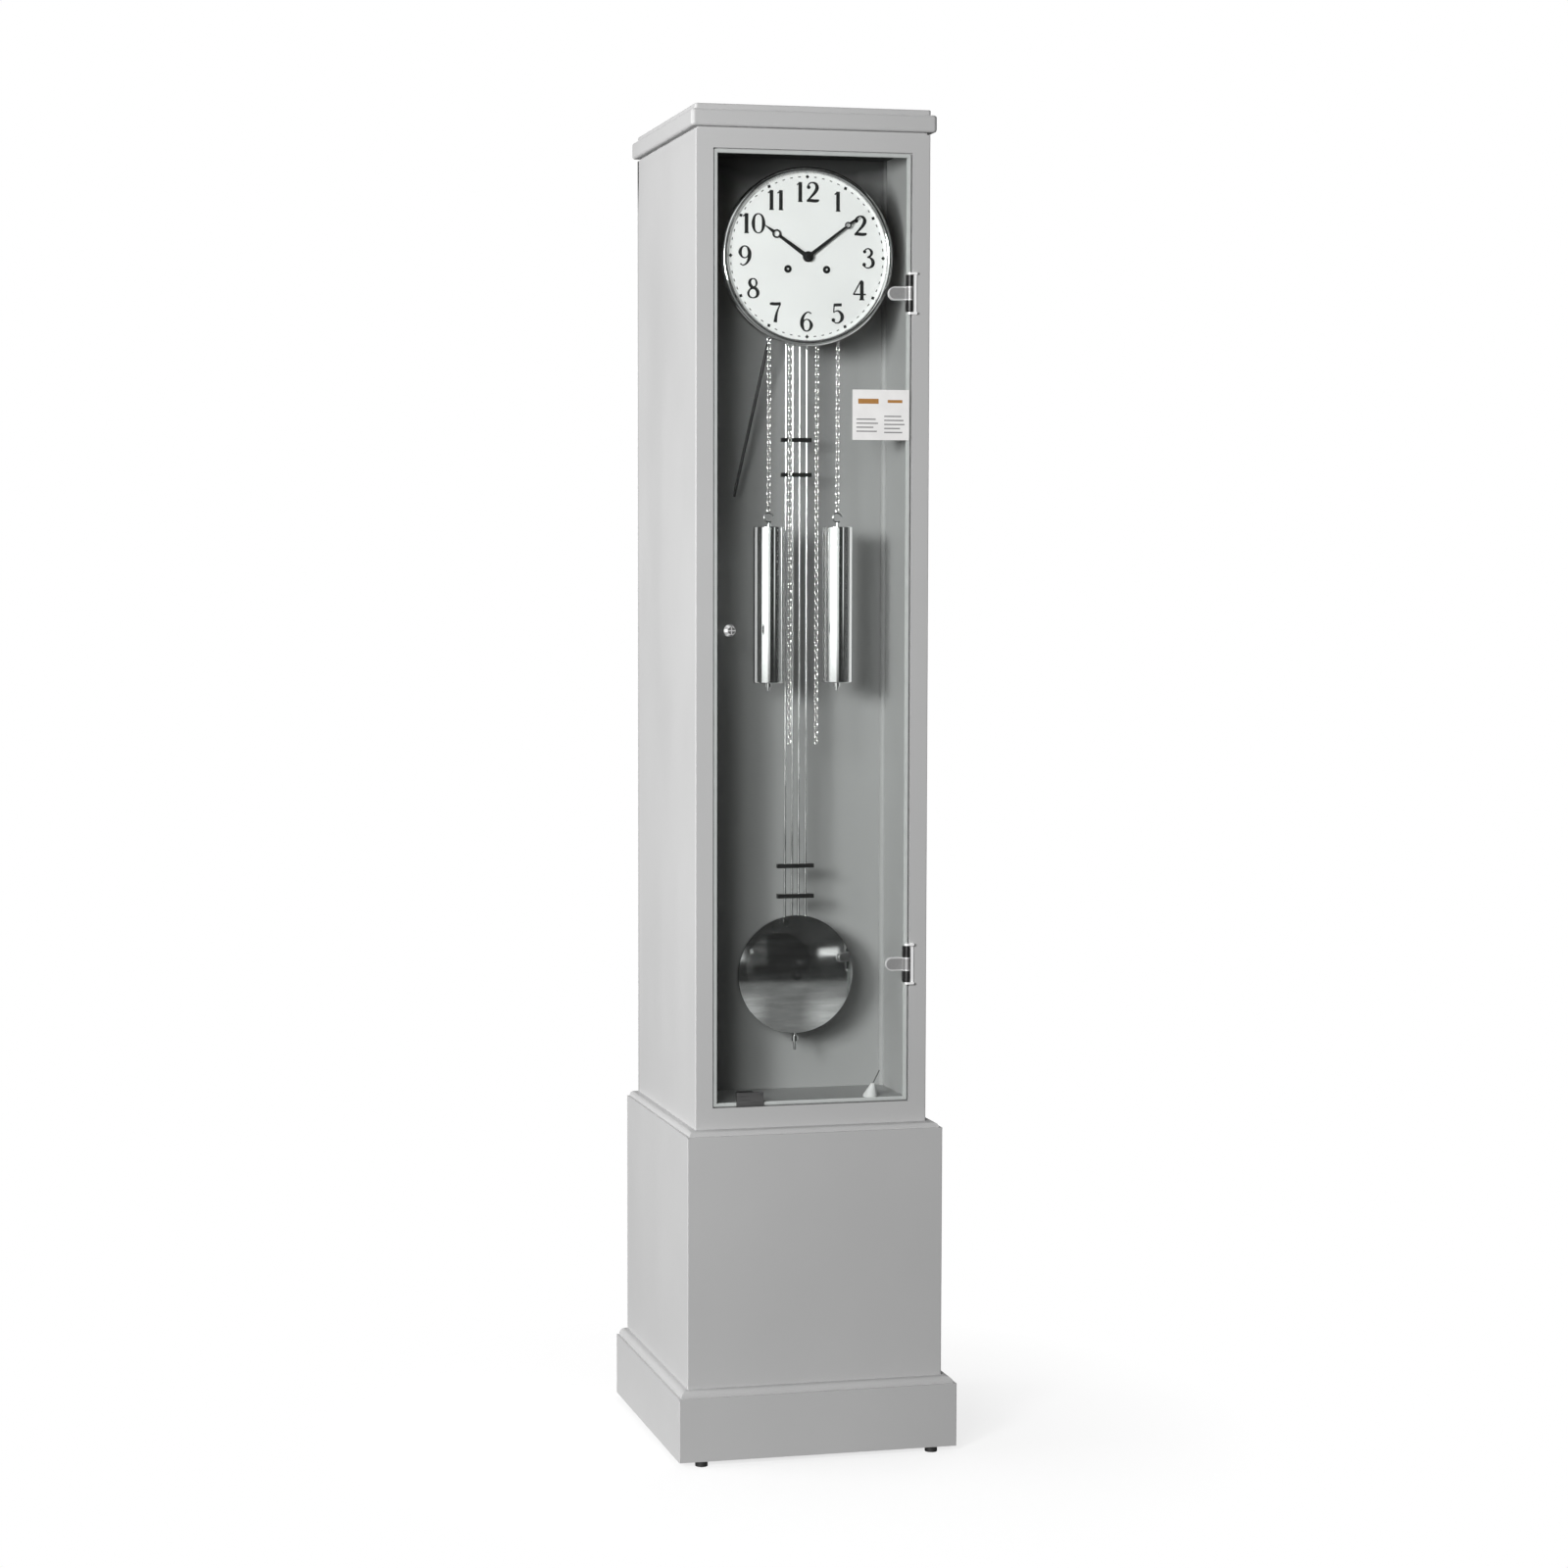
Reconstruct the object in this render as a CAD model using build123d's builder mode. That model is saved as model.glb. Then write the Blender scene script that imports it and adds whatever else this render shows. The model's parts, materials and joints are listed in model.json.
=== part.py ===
"""Grandfather clock: lacquered case with a glazed door, chain-driven weights and a gridiron pendulum.

Row frame: origin on the floor under the middle of the plinth, +Z up, the dial faces -Y, +X is to the
right of somebody who reads the dial. Every length is in millimetres.
"""
import os
from math import atan2, cos, degrees, radians, sin

from build123d import *

os.makedirs("parts", exist_ok=True)

# ---------------------------------------------------------------- driving dimensions
# case, from the floor up
foot_height, foot_side_inset, foot_end_inset, foot_block = 8, 35, 11, 20
foot_pad_radius, foot_pad_height, foot_stem_radius, foot_stem_top = 9, 7, 4, 34
plinth_width, plinth_depth, plinth_top = 412, 396, 97
base_width, base_depth, base_bottom, base_top = 378, 376, 108, 467
trunk_width, trunk_depth, trunk_bottom, trunk_top = 343, 352, 475, 1883
cornice_width, cornice_depth, cornice_bottom, cornice_top = 359, 360, 1886, 1910
cornice_corner, cornice_rounding, cornice_reveal = 6, 4, 4
cap_width, cap_depth, cap_top = 345, 348, 1918
cap_setback, cap_corner, cap_rounding = 4, 4, 2
board = 18
back_board, inner_back_board = 8, 10
moulding_ledge = 4
arris = 1.5
corner_bead = 6

# glazed door
window_half_width, window_bottom, window_top = 146, 505, 1857
window_lip, lip_clearance = 4, 0.2
glass_thickness, glass_recess, glass_gap = 5, 2, 1.5
hinge_heights = (704, 1660)
hinge_height = 52
hinge_pin_x, hinge_pin_proud, hinge_pin_radius = 141.5, -2, 1.5
knuckle_radius = 4

# compartment behind the glass, measured back from the front of the trunk
chain_depth = 50
pendulum_depth = 86
gong_depth = 110
compartment_depth = 150

# dial and hands
dial_height = 1712
dial_visible_radius, dial_ring_radius = 117, 126
dial_depth, dial_thickness, dial_bore = 33, 1.5, 5.5
ring_crest, ring_wall, ring_skirt = 6, 4.5, 9
screw_offset, screw_height, screw_shank = 28.5, dial_height - 17.5, 3
minute_now, hour_now = 8.75, 10
hand_thickness, hand_boss_radius = 1, 7.4

# movement: two plates and the arbors between them
plate_half_width, plate_bottom, plate_top, plate_thickness = 78, 1645, 1792, 2
front_plate_depth, back_plate_depth = 43, 75
chain_offset = 35.5
sprocket_height = 1690
sprocket_radius = 15.5
chain_wire_radius = 1.6
suspension_height = 1766
running_gap = 0.05

# weights and pendulum
weight_radius, weight_bottom, weight_top = 22, 1108, 1331
bob_radius, bob_height, bob_half_thickness, bob_rim = 86, 683, 12, 7
rod_radius, rod_spacings = 1.8, (5, 15.5)
crossbar_heights = {1612: 44, 1456: 44, 1406: 44, 841: 54, 797: 54}
chain_free_end = 1020

# ---------------------------------------------------------------- derived places
rear = plinth_depth / 2
plinth_front = -plinth_depth / 2
base_front = rear - base_depth
trunk_front = rear - trunk_depth
cornice_front = rear - cornice_depth
inner_half_width = trunk_width / 2 - board
frame_back = trunk_front + board
glass_front = trunk_front + glass_recess
glass_back = glass_front + glass_thickness
compartment_back_face = trunk_front + compartment_depth
dial_front = trunk_front + dial_depth
dial_back = dial_front + dial_thickness
front_plate_face = trunk_front + front_plate_depth
front_plate_rear = front_plate_face + plate_thickness
back_plate_face = trunk_front + back_plate_depth
back_plate_rear = back_plate_face + plate_thickness
chain_y = trunk_front + chain_depth
pendulum_y = trunk_front + pendulum_depth
gong_y = trunk_front + gong_depth


# ---------------------------------------------------------------- shared shapes
def block(x0, x1, y0, y1, z0, z1, mode=Mode.ADD):
    """A box between two opposite corners."""
    with Locations(((x0 + x1) / 2, (y0 + y1) / 2, (z0 + z1) / 2)):
        return Box(x1 - x0, y1 - y0, z1 - z0, mode=mode)


def post(x, y, radius, z0, z1, mode=Mode.ADD):
    """A round bar along Z."""
    with Locations((x, y, (z0 + z1) / 2)):
        return Cylinder(radius, z1 - z0, mode=mode)


def arbor(x, z, radius, y0, y1, mode=Mode.ADD):
    """A round bar along Y."""
    with Locations(Location((x, (y0 + y1) / 2, z), (90, 0, 0))):
        return Cylinder(radius, y1 - y0, mode=mode)


def disc_outline(x, z, teeth, root, tip, turn=0.0):
    """Points of a toothed outline in X and Z, with narrow teeth for a loose mesh."""
    step = 360 / teeth
    points = []
    for tooth in range(teeth):
        middle = turn + tooth * step
        for radius, offset in ((root, -0.2), (tip, -0.08), (tip, 0.08), (root, 0.2)):
            angle = radians(middle + offset * step)
            points.append((x + radius * cos(angle), z + radius * sin(angle)))
    return points


def toothed_disc(x, z, teeth, module, y0, y1, turn=0.0, addendum=0.55):
    """A wheel or a pinion between two planes of constant Y."""
    pitch_radius = module * teeth / 2
    root, tip = pitch_radius - 1.1 * module, pitch_radius + addendum * module
    with BuildSketch(Plane.XZ.offset(-y1)) as profile:
        with BuildLine():
            Polyline(*disc_outline(x, z, teeth, root, tip, turn), close=True)
        make_face()
    return extrude(profile.sketch, amount=y1 - y0)


def crossings(x, z, inner, outer, y0, y1, spokes=5):
    """Cuts the openings between the spokes of a wheel."""
    from_centre = (Align.MIN, Align.CENTER)
    with BuildSketch(Plane.XZ.offset(-y1)) as openings:
        with Locations((x, z)):
            Circle(outer)
            Circle(inner, mode=Mode.SUBTRACT)
            with PolarLocations(0, spokes):
                Rectangle(outer + 1, 0.16 * outer, align=from_centre, mode=Mode.SUBTRACT)
    return extrude(openings.sketch, amount=y1 - y0, mode=Mode.SUBTRACT)


def direction_angle(x0, z0, x1, z1):
    """Angle of the line from the first point to the second, in degrees."""
    return degrees(atan2(z1 - z0, x1 - x0))


# ================================================================ case
with BuildPart() as levelling_feet:
    for side in (-1, 1):
        for end in (-1, 1):
            x, y = side * (plinth_width / 2 - foot_side_inset), end * (plinth_depth / 2 - foot_end_inset)
            post(x, y, foot_pad_radius, 0, foot_pad_height)
            post(x, y, foot_stem_radius, foot_pad_height, foot_stem_top)
levelling_feet.part.label = "levelling_feet"
export_step(levelling_feet.part, "parts/levelling_feet.step")

with BuildPart() as plinth_skirt:
    half, deep = plinth_width / 2, plinth_depth / 2
    block(-half, half, -deep, deep, foot_height, plinth_top)
    block(-half + board, half - board, -deep + board, deep - board,
          foot_height, plinth_top, Mode.SUBTRACT)
    fillet([e for e in plinth_skirt.edges().filter_by(Axis.Z) if abs(e.center().X) > half - 1
            and e.center().Y < 0], arris)
    for side in (-1, 1):
        for end in (-1, 1):
            x, y = side * (half - board - foot_block), end * (deep - board - foot_block)
            block(x - foot_block, x + foot_block, y - foot_block, y + foot_block,
                  foot_height, foot_height + 2 * foot_block)
            post(side * (half - foot_side_inset), end * (deep - foot_end_inset),
                 foot_stem_radius, foot_height, foot_stem_top, Mode.SUBTRACT)
plinth_skirt.part.label = "plinth_skirt"
export_step(plinth_skirt.part, "parts/plinth_skirt.step")

# boards flush at the back whose front and side edges step in above a lip and round over
for node, width, depth, bottom, top, lip, rounding in (
    ("plinth_board", plinth_width, plinth_depth, plinth_top, base_bottom, 2, 8.5),
    ("base_board", base_width, base_depth, base_top, trunk_bottom, 1.5, 6),
):
    with BuildPart() as moulded_board:
        half, front = width / 2, rear - depth
        inner = half - moulding_ledge
        block(-half, half, front, rear, bottom, bottom + lip)
        block(-inner, inner, front + moulding_ledge, rear, bottom + lip, top)
        fillet([e for e in moulded_board.edges().group_by(Axis.Z)[-1] if e.center().Y < rear - 1], rounding)
    moulded_board.part.label = node
    export_step(moulded_board.part, f"parts/{node}.step")

with BuildPart() as base_panels:
    half = base_width / 2
    block(-half, half, base_front, rear, base_bottom, base_top)
    fillet([e for e in base_panels.edges().filter_by(Axis.Z) if e.center().Y < 0], arris)
    block(-half + board, half - board, base_front + board, rear - board,
          base_bottom, base_top, Mode.SUBTRACT)
base_panels.part.label = "base_panels"
export_step(base_panels.part, "parts/base_panels.step")

for node, side in (("side_panel_left", -1), ("side_panel_right", 1)):
    with BuildPart() as side_panel:
        outer, inner = side * trunk_width / 2, side * inner_half_width
        block(min(outer, inner), max(outer, inner), frame_back, rear - back_board, trunk_bottom, trunk_top)
    side_panel.part.label = node
    export_step(side_panel.part, f"parts/{node}.step")

with BuildPart() as rear_panel:
    block(-trunk_width / 2, trunk_width / 2, rear - back_board, rear, trunk_bottom, trunk_top)
rear_panel.part.label = "rear_panel"
export_step(rear_panel.part, "parts/rear_panel.step")

with BuildPart() as face_frame:
    half = trunk_width / 2
    block(-half, half, trunk_front, frame_back, trunk_bottom, trunk_top)
    fillet([e for e in face_frame.edges().filter_by(Axis.Z) if e.center().Y < frame_back - 1], arris)
    lip_half = window_half_width - window_lip
    block(-lip_half, lip_half, trunk_front, frame_back, window_bottom + window_lip,
          window_top - window_lip, Mode.SUBTRACT)
    block(-window_half_width, window_half_width, trunk_front, glass_back + lip_clearance,
          window_bottom, window_top, Mode.SUBTRACT)
face_frame.part.label = "face_frame"
export_step(face_frame.part, "parts/face_frame.step")

with BuildPart() as compartment_back:
    block(-inner_half_width, inner_half_width, compartment_back_face,
          compartment_back_face + inner_back_board, window_bottom, trunk_top - board)
compartment_back.part.label = "compartment_back"
export_step(compartment_back.part, "parts/compartment_back.step")

with BuildPart() as corner_beads:
    for side in (-1, 1):
        with BuildSketch(Plane.XY.offset(window_bottom)):
            with Locations((side * inner_half_width, compartment_back_face)):
                Circle(corner_bead)
            with Locations((0, compartment_back_face - corner_bead)):
                Rectangle(2 * inner_half_width, 2 * corner_bead, mode=Mode.INTERSECT)
        extrude(amount=trunk_top - board - window_bottom)
corner_beads.part.label = "corner_beads"
export_step(corner_beads.part, "parts/corner_beads.step")

with BuildPart() as compartment_floor:
    block(-inner_half_width, inner_half_width, frame_back, rear - back_board,
          window_bottom - board, window_bottom)
compartment_floor.part.label = "compartment_floor"
export_step(compartment_floor.part, "parts/compartment_floor.step")

with BuildPart() as top_board:
    block(-inner_half_width, inner_half_width, frame_back, rear - back_board,
          trunk_top - board, trunk_top)
top_board.part.label = "top_board"
export_step(top_board.part, "parts/top_board.step")

with BuildPart() as cornice_slab:
    half = cornice_width / 2
    block(-half, half, cornice_front, rear, cornice_bottom, cornice_top)
    fillet([e for e in cornice_slab.edges().filter_by(Axis.Z) if e.center().Y < 0], cornice_corner)
    rims = cornice_slab.edges().group_by(Axis.Z)[-1] + cornice_slab.edges().group_by(Axis.Z)[0]
    fillet([e for e in rims if e.center().Y < rear - 1], cornice_rounding)
    reveal = trunk_width / 2 - cornice_reveal
    block(-reveal, reveal, trunk_front + cornice_reveal, rear, trunk_top, cornice_bottom)
cornice_slab.part.label = "cornice_slab"
export_step(cornice_slab.part, "parts/cornice_slab.step")

with BuildPart() as cornice_cap:
    half = cap_width / 2
    block(-half, half, rear - cap_depth - cap_setback, rear - cap_setback, cornice_top, cap_top)
    fillet(cornice_cap.edges().filter_by(Axis.Z), cap_corner)
    fillet(cornice_cap.edges().group_by(Axis.Z)[-1], cap_rounding)
cornice_cap.part.label = "cornice_cap"
export_step(cornice_cap.part, "parts/cornice_cap.step")

pin_y = trunk_front + hinge_pin_proud
plate_inner, plate_outer, plate_proud = window_half_width + 0.5, window_half_width + 5.5, 1.5
ear_radius, ear_thickness, ear_gap = 3, 3, 0.4
with BuildPart() as hinge_plates:
    for height in hinge_heights:
        low, high = height - hinge_height / 2, height + hinge_height / 2
        block(plate_inner, plate_outer, trunk_front - plate_proud, trunk_front, low - 4, high + 4)
        for z0, z1 in ((low - ear_gap - ear_thickness, low - ear_gap),
                       (high + ear_gap, high + ear_gap + ear_thickness)):
            block(hinge_pin_x, plate_outer, pin_y - ear_radius, trunk_front - 0.2, z0, z1)
            post(hinge_pin_x, pin_y, ear_radius, z0, z1)
        post(hinge_pin_x, pin_y, hinge_pin_radius, low - ear_thickness, high + ear_thickness)
hinge_plates.part.label = "hinge_plates"
export_step(hinge_plates.part, "parts/hinge_plates.step")

catch_left = -103
with BuildPart() as magnetic_catch:
    block(catch_left, catch_left + 24, frame_back + 0.2, frame_back + 16,
          window_bottom, window_bottom + 18)
    fillet(magnetic_catch.edges().group_by(Axis.Z)[-1], 1.5)
magnetic_catch.part.label = "magnetic_catch"
export_step(magnetic_catch.part, "parts/magnetic_catch.step")

# ================================================================ door
glass_left, glass_right = -window_half_width + glass_gap, window_half_width - 2.5
clamp_screw_x, clamp_screw_radius, tab_half, tab_thickness = 126, 4, 9.5, 2
with BuildPart() as door_glass:
    block(glass_left, glass_right, glass_front, glass_back,
          window_bottom + glass_gap, window_top - glass_gap)
    fillet(door_glass.edges().filter_by(Axis.Y), 2)
    chamfer(door_glass.faces().filter_by(Axis.Y).edges(), 0.6)
    for height in hinge_heights:
        arbor(clamp_screw_x, height, clamp_screw_radius, glass_front, glass_back, Mode.SUBTRACT)
door_glass.part.label = "door_glass"
export_step(door_glass.part, "parts/door_glass.step")

tab_end_x = clamp_screw_x - 6.5
with BuildPart() as hinge_clamps:
    for height in hinge_heights:
        low, high = height - hinge_height / 2, height + hinge_height / 2
        post(hinge_pin_x, pin_y, knuckle_radius, low, high)
        block(hinge_pin_x - 6, hinge_pin_x, pin_y - 2, glass_front, low, high)
        post(hinge_pin_x, pin_y, hinge_pin_radius + running_gap, low, high, Mode.SUBTRACT)
        with BuildSketch(Plane.XZ.offset(-glass_front)):
            with Locations((tab_end_x, height)):
                Circle(tab_half)
                Rectangle(hinge_pin_x - tab_end_x, 2 * tab_half, align=(Align.MIN, Align.CENTER))
        extrude(amount=tab_thickness)
        with BuildSketch(Plane.XZ.offset(-glass_back - tab_thickness)):
            with Locations((clamp_screw_x, height)):
                SlotOverall(29, 2 * tab_half)
        extrude(amount=tab_thickness)
        arbor(clamp_screw_x, height, clamp_screw_radius, glass_front, glass_back)
hinge_clamps.part.label = "hinge_clamps"
export_step(hinge_clamps.part, "parts/hinge_clamps.step")

knob_x, knob_height = -124, 1184
knob_stem_radius, knob_sides = 5, 12
knob_sections = ((6, 7), (11, 9), (20, 6))
with BuildPart() as door_knob:
    arbor(knob_x, knob_height, knob_stem_radius, glass_front - knob_sections[0][0], glass_front)
    for cut_end in zip(knob_sections, knob_sections[1:]):
        for proud, radius in cut_end:
            with BuildSketch(Plane.XZ.offset(-(glass_front - proud))):
                with Locations((knob_x, knob_height)):
                    RegularPolygon(radius, knob_sides)
        loft()
door_knob.part.label = "door_knob"
export_step(door_knob.part, "parts/door_knob.step")

clip_left, clip_right = -111, -71
with BuildPart() as door_clip:
    foot = window_bottom + 0.4
    block(clip_left, clip_right, glass_front - 2, glass_front, foot, window_bottom + 21)
    block(clip_left, clip_right, glass_front, glass_back - 0.3, foot, window_bottom + glass_gap)
door_clip.part.label = "door_clip"
export_step(door_clip.part, "parts/door_clip.step")

with BuildPart() as label_card:
    block(58, 142, glass_front - 0.4, glass_front, 1453, 1524)
label_card.part.label = "label_card"
export_step(label_card.part, "parts/label_card.step")

# ================================================================ dial
with BuildPart() as dial_plate:
    arbor(0, dial_height, dial_ring_radius - ring_wall - 0.2, dial_front, dial_back)
    arbor(0, dial_height, dial_bore, dial_front, dial_back, Mode.SUBTRACT)
    for x in (-screw_offset, screw_offset):
        arbor(x, screw_height, screw_shank, dial_front, dial_back, Mode.SUBTRACT)
dial_plate.part.label = "dial_plate"
export_step(dial_plate.part, "parts/dial_plate.step")

with BuildPart() as dial_ring:
    inner, outer = dial_visible_radius, dial_ring_radius
    with BuildSketch(Plane((0, 0, dial_height))):
        with BuildLine():
            crest = ((inner + outer) / 2, dial_front - ring_crest)
            ThreePointArc((inner, dial_front), crest, (outer, dial_front))
            wall, skirt = outer - ring_wall, dial_front + ring_skirt
            Polyline((outer, dial_front), (outer, skirt), (wall, skirt), (wall, dial_front),
                     (inner, dial_front))
        make_face()
    revolve(axis=Axis((0, 0, dial_height), (0, 1, 0)))
dial_ring.part.label = "dial_ring"
export_step(dial_ring.part, "parts/dial_ring.step")

with BuildPart() as dial_screws:
    for x in (-screw_offset, screw_offset):
        arbor(x, screw_height, 5.4, dial_front - 0.8, dial_front)
        arbor(x, screw_height, screw_shank, dial_front, dial_back)
        arbor(x, screw_height, 2, dial_front - 1.4, dial_front - 0.8)
dial_screws.part.label = "dial_screws"
export_step(dial_screws.part, "parts/dial_screws.step")

with BuildPart() as dial_posts:
    for x in (-screw_offset, screw_offset):
        arbor(x, screw_height, 3.5, dial_back, front_plate_face)
dial_posts.part.label = "dial_posts"
export_step(dial_posts.part, "parts/dial_posts.step")

# ================================================================ movement frame
great_x, great_z = chain_offset, sprocket_height
great_module, centre_module, third_module = 0.803, 0.65, 0.55
cannon_module, hour_module = 0.5, 0.5333
great_teeth, centre_teeth, third_teeth, escape_teeth, leaves = 96, 64, 60, 30, 8
pinion_addendum, pinion_turn = 0.45, 180 + 180 / leaves
third_x, third_z = -14, dial_height + 18.75
escape_z = third_z + 12.4
pin_x, pin_z = -53.5, dial_height + 15.7
fly_x, fly_z = -45.5, pin_z + 16.9
minute_wheel_z = dial_height + 20
hammer_x, hammer_z = -70, 1655
pivots = ((great_x, great_z), (-great_x, great_z), (third_x, third_z), (0, escape_z),
          (pin_x, pin_z), (fly_x, fly_z))
pivot_radius, arbor_radius = 1.2, 2
pillars = ((-72, 1778), (72, 1778), (72, 1653), (0, 1653))

with BuildPart() as front_plate:
    block(-plate_half_width, plate_half_width, front_plate_face, front_plate_rear, plate_bottom, plate_top)
    fillet(front_plate.edges().filter_by(Axis.Y), 6)
    for x, z in pivots + ((0, suspension_height), (hammer_x, hammer_z)):
        arbor(x, z, pivot_radius + running_gap, front_plate_face, front_plate_rear, Mode.SUBTRACT)
    arbor(0, dial_height, arbor_radius + running_gap, front_plate_face, front_plate_rear, Mode.SUBTRACT)
    arbor(0, minute_wheel_z, 1.5, front_plate_face - 7.5, front_plate_face)
front_plate.part.label = "front_plate"
export_step(front_plate.part, "parts/front_plate.step")

with BuildPart() as back_plate:
    block(-plate_half_width, plate_half_width, back_plate_face, back_plate_rear, plate_bottom, plate_top)
    fillet(back_plate.edges().filter_by(Axis.Y), 6)
    for x, z in pivots + ((0, dial_height),):
        arbor(x, z, pivot_radius + running_gap, back_plate_face, back_plate_rear, Mode.SUBTRACT)
    for x, z in ((0, suspension_height), (hammer_x, hammer_z)):
        arbor(x, z, arbor_radius + running_gap, back_plate_face, back_plate_rear, Mode.SUBTRACT)
back_plate.part.label = "back_plate"
export_step(back_plate.part, "parts/back_plate.step")

with BuildPart() as plate_pillars:
    for x, z in pillars:
        arbor(x, z, 4, front_plate_rear, back_plate_face)
plate_pillars.part.label = "plate_pillars"
export_step(plate_pillars.part, "parts/plate_pillars.step")

cock_front, cock_rear = pendulum_y - 5.5, pendulum_y + 5.5
with BuildPart() as suspension_cock:
    block(-18, 18, back_plate_rear, cock_rear, suspension_height + 13, plate_top)
    for y0, y1 in ((cock_front, cock_front + 2), (cock_rear - 2, cock_rear)):
        block(-5, 5, y0, y1, suspension_height - 5, suspension_height + 13)
        arbor(0, suspension_height, 1 + running_gap, y0, y1, Mode.SUBTRACT)
suspension_cock.part.label = "suspension_cock"
export_step(suspension_cock.part, "parts/suspension_cock.step")

with BuildPart() as seat_bracket:
    low, high = plate_bottom - 8, plate_bottom
    block(-80, 80, front_plate_face - 0.5, back_plate_rear + 2, low, high)
    block(-40, 40, back_plate_rear + 2, compartment_back_face, low, high)
    block(-40, 40, compartment_back_face - 8, compartment_back_face, high, high + 55)
    for x in (chain_offset - sprocket_radius, chain_offset + sprocket_radius):
        post(x, chain_y, 6, low, high, Mode.SUBTRACT)
        post(-x, chain_y, 6, low, high, Mode.SUBTRACT)
    block(-14, 14, pendulum_y - 9, pendulum_y + 9, low, high, Mode.SUBTRACT)
    block(-33, -17, gong_y - 6, gong_y + 6, low, high, Mode.SUBTRACT)
seat_bracket.part.label = "seat_bracket"
export_step(seat_bracket.part, "parts/seat_bracket.step")

# the rod gong leans to the left below its block
gong_top, gong_foot = Vector(-3.4, gong_y, 1735), Vector(-86.4, gong_y, 1375)
gong_radius = 2.3
gong_reach = (gong_top - gong_foot).length
with BuildPart() as gong_rod:
    with BuildSketch(Plane(gong_foot, x_dir=(0, 1, 0), z_dir=gong_top - gong_foot)):
        Circle(gong_radius)
    extrude(amount=gong_reach + 12)
gong_rod.part.label = "gong_rod"
export_step(gong_rod.part, "parts/gong_rod.step")

with BuildPart() as gong_block:
    block(-20, 14, gong_y - 12, compartment_back_face, 1736, 1766)
    fillet(gong_block.edges().filter_by(Axis.Y), 3)
    with BuildSketch(Plane(gong_foot, x_dir=(0, 1, 0), z_dir=gong_top - gong_foot)):
        Circle(gong_radius)
    extrude(amount=gong_reach + 12, mode=Mode.SUBTRACT)
gong_block.part.label = "gong_block"
export_step(gong_block.part, "parts/gong_block.step")

# ================================================================ going train
between = (front_plate_rear + 0.3, back_plate_face - 0.3)
pivot_span = (front_plate_face, back_plate_rear)


def running_arbor(x, z, radius=arbor_radius):
    """An arbor between the plates with a pivot at each end."""
    arbor(x, z, radius, *between)
    arbor(x, z, pivot_radius, *pivot_span)


mesh_great = direction_angle(great_x, great_z, 0, dial_height)
with BuildPart() as time_great_wheel:
    toothed_disc(great_x, great_z, great_teeth, great_module, chain_y + 5, chain_y + 7, mesh_great)
    crossings(great_x, great_z, 10, 32, chain_y + 5, chain_y + 7)
    running_arbor(great_x, great_z, 2.5)
time_great_wheel.part.label = "time_great_wheel"
export_step(time_great_wheel.part, "parts/time_great_wheel.step")

mesh_third = direction_angle(0, dial_height, third_x, third_z)
cannon_rear = front_plate_face - 1
with BuildPart() as centre_wheel:
    toothed_disc(0, dial_height, leaves, great_module, chain_y + 4, chain_y + 8,
                 mesh_great + pinion_turn, pinion_addendum)
    toothed_disc(0, dial_height, centre_teeth, centre_module, chain_y + 17, chain_y + 18.5, mesh_third)
    crossings(0, dial_height, 6, 16, chain_y + 17, chain_y + 18.5)
    toothed_disc(0, dial_height, 20, cannon_module, cannon_rear - 1.7, cannon_rear, 90)
    arbor(0, dial_height, arbor_radius, dial_front - 5.5, between[1])
    arbor(0, dial_height, pivot_radius, between[1], back_plate_rear)
centre_wheel.part.label = "centre_wheel"
export_step(centre_wheel.part, "parts/centre_wheel.step")

mesh_escape = direction_angle(third_x, third_z, 0, escape_z)
with BuildPart() as third_wheel:
    toothed_disc(third_x, third_z, leaves, centre_module, chain_y + 15.5, chain_y + 20,
                 mesh_third + pinion_turn, pinion_addendum)
    toothed_disc(third_x, third_z, third_teeth, third_module, chain_y + 13, chain_y + 14.5, mesh_escape)
    crossings(third_x, third_z, 5, 12.5, chain_y + 13, chain_y + 14.5)
    running_arbor(third_x, third_z, 1.5)
third_wheel.part.label = "third_wheel"
export_step(third_wheel.part, "parts/third_wheel.step")

with BuildPart() as escape_wheel:
    toothed_disc(0, escape_z, leaves, third_module, chain_y + 12, chain_y + 15.5,
                 mesh_escape + pinion_turn, pinion_addendum)
    with BuildSketch(Plane.XZ.offset(-(chain_y + 2.5))):
        with BuildLine():
            hooked = []
            for tooth in range(escape_teeth):
                for radius, offset in ((12.6, -4), (15.4, 3.2), (15.4, 4), (12.6, 4.6)):
                    angle = radians(tooth * 360 / escape_teeth + offset)
                    hooked.append((radius * cos(angle), escape_z + radius * sin(angle)))
            Polyline(*hooked, close=True)
        make_face()
    extrude(amount=1.5)
    crossings(0, escape_z, 4.5, 10, chain_y + 1, chain_y + 2.5)
    running_arbor(0, escape_z, 1.5)
escape_wheel.part.label = "escape_wheel"
export_step(escape_wheel.part, "parts/escape_wheel.step")

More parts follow.
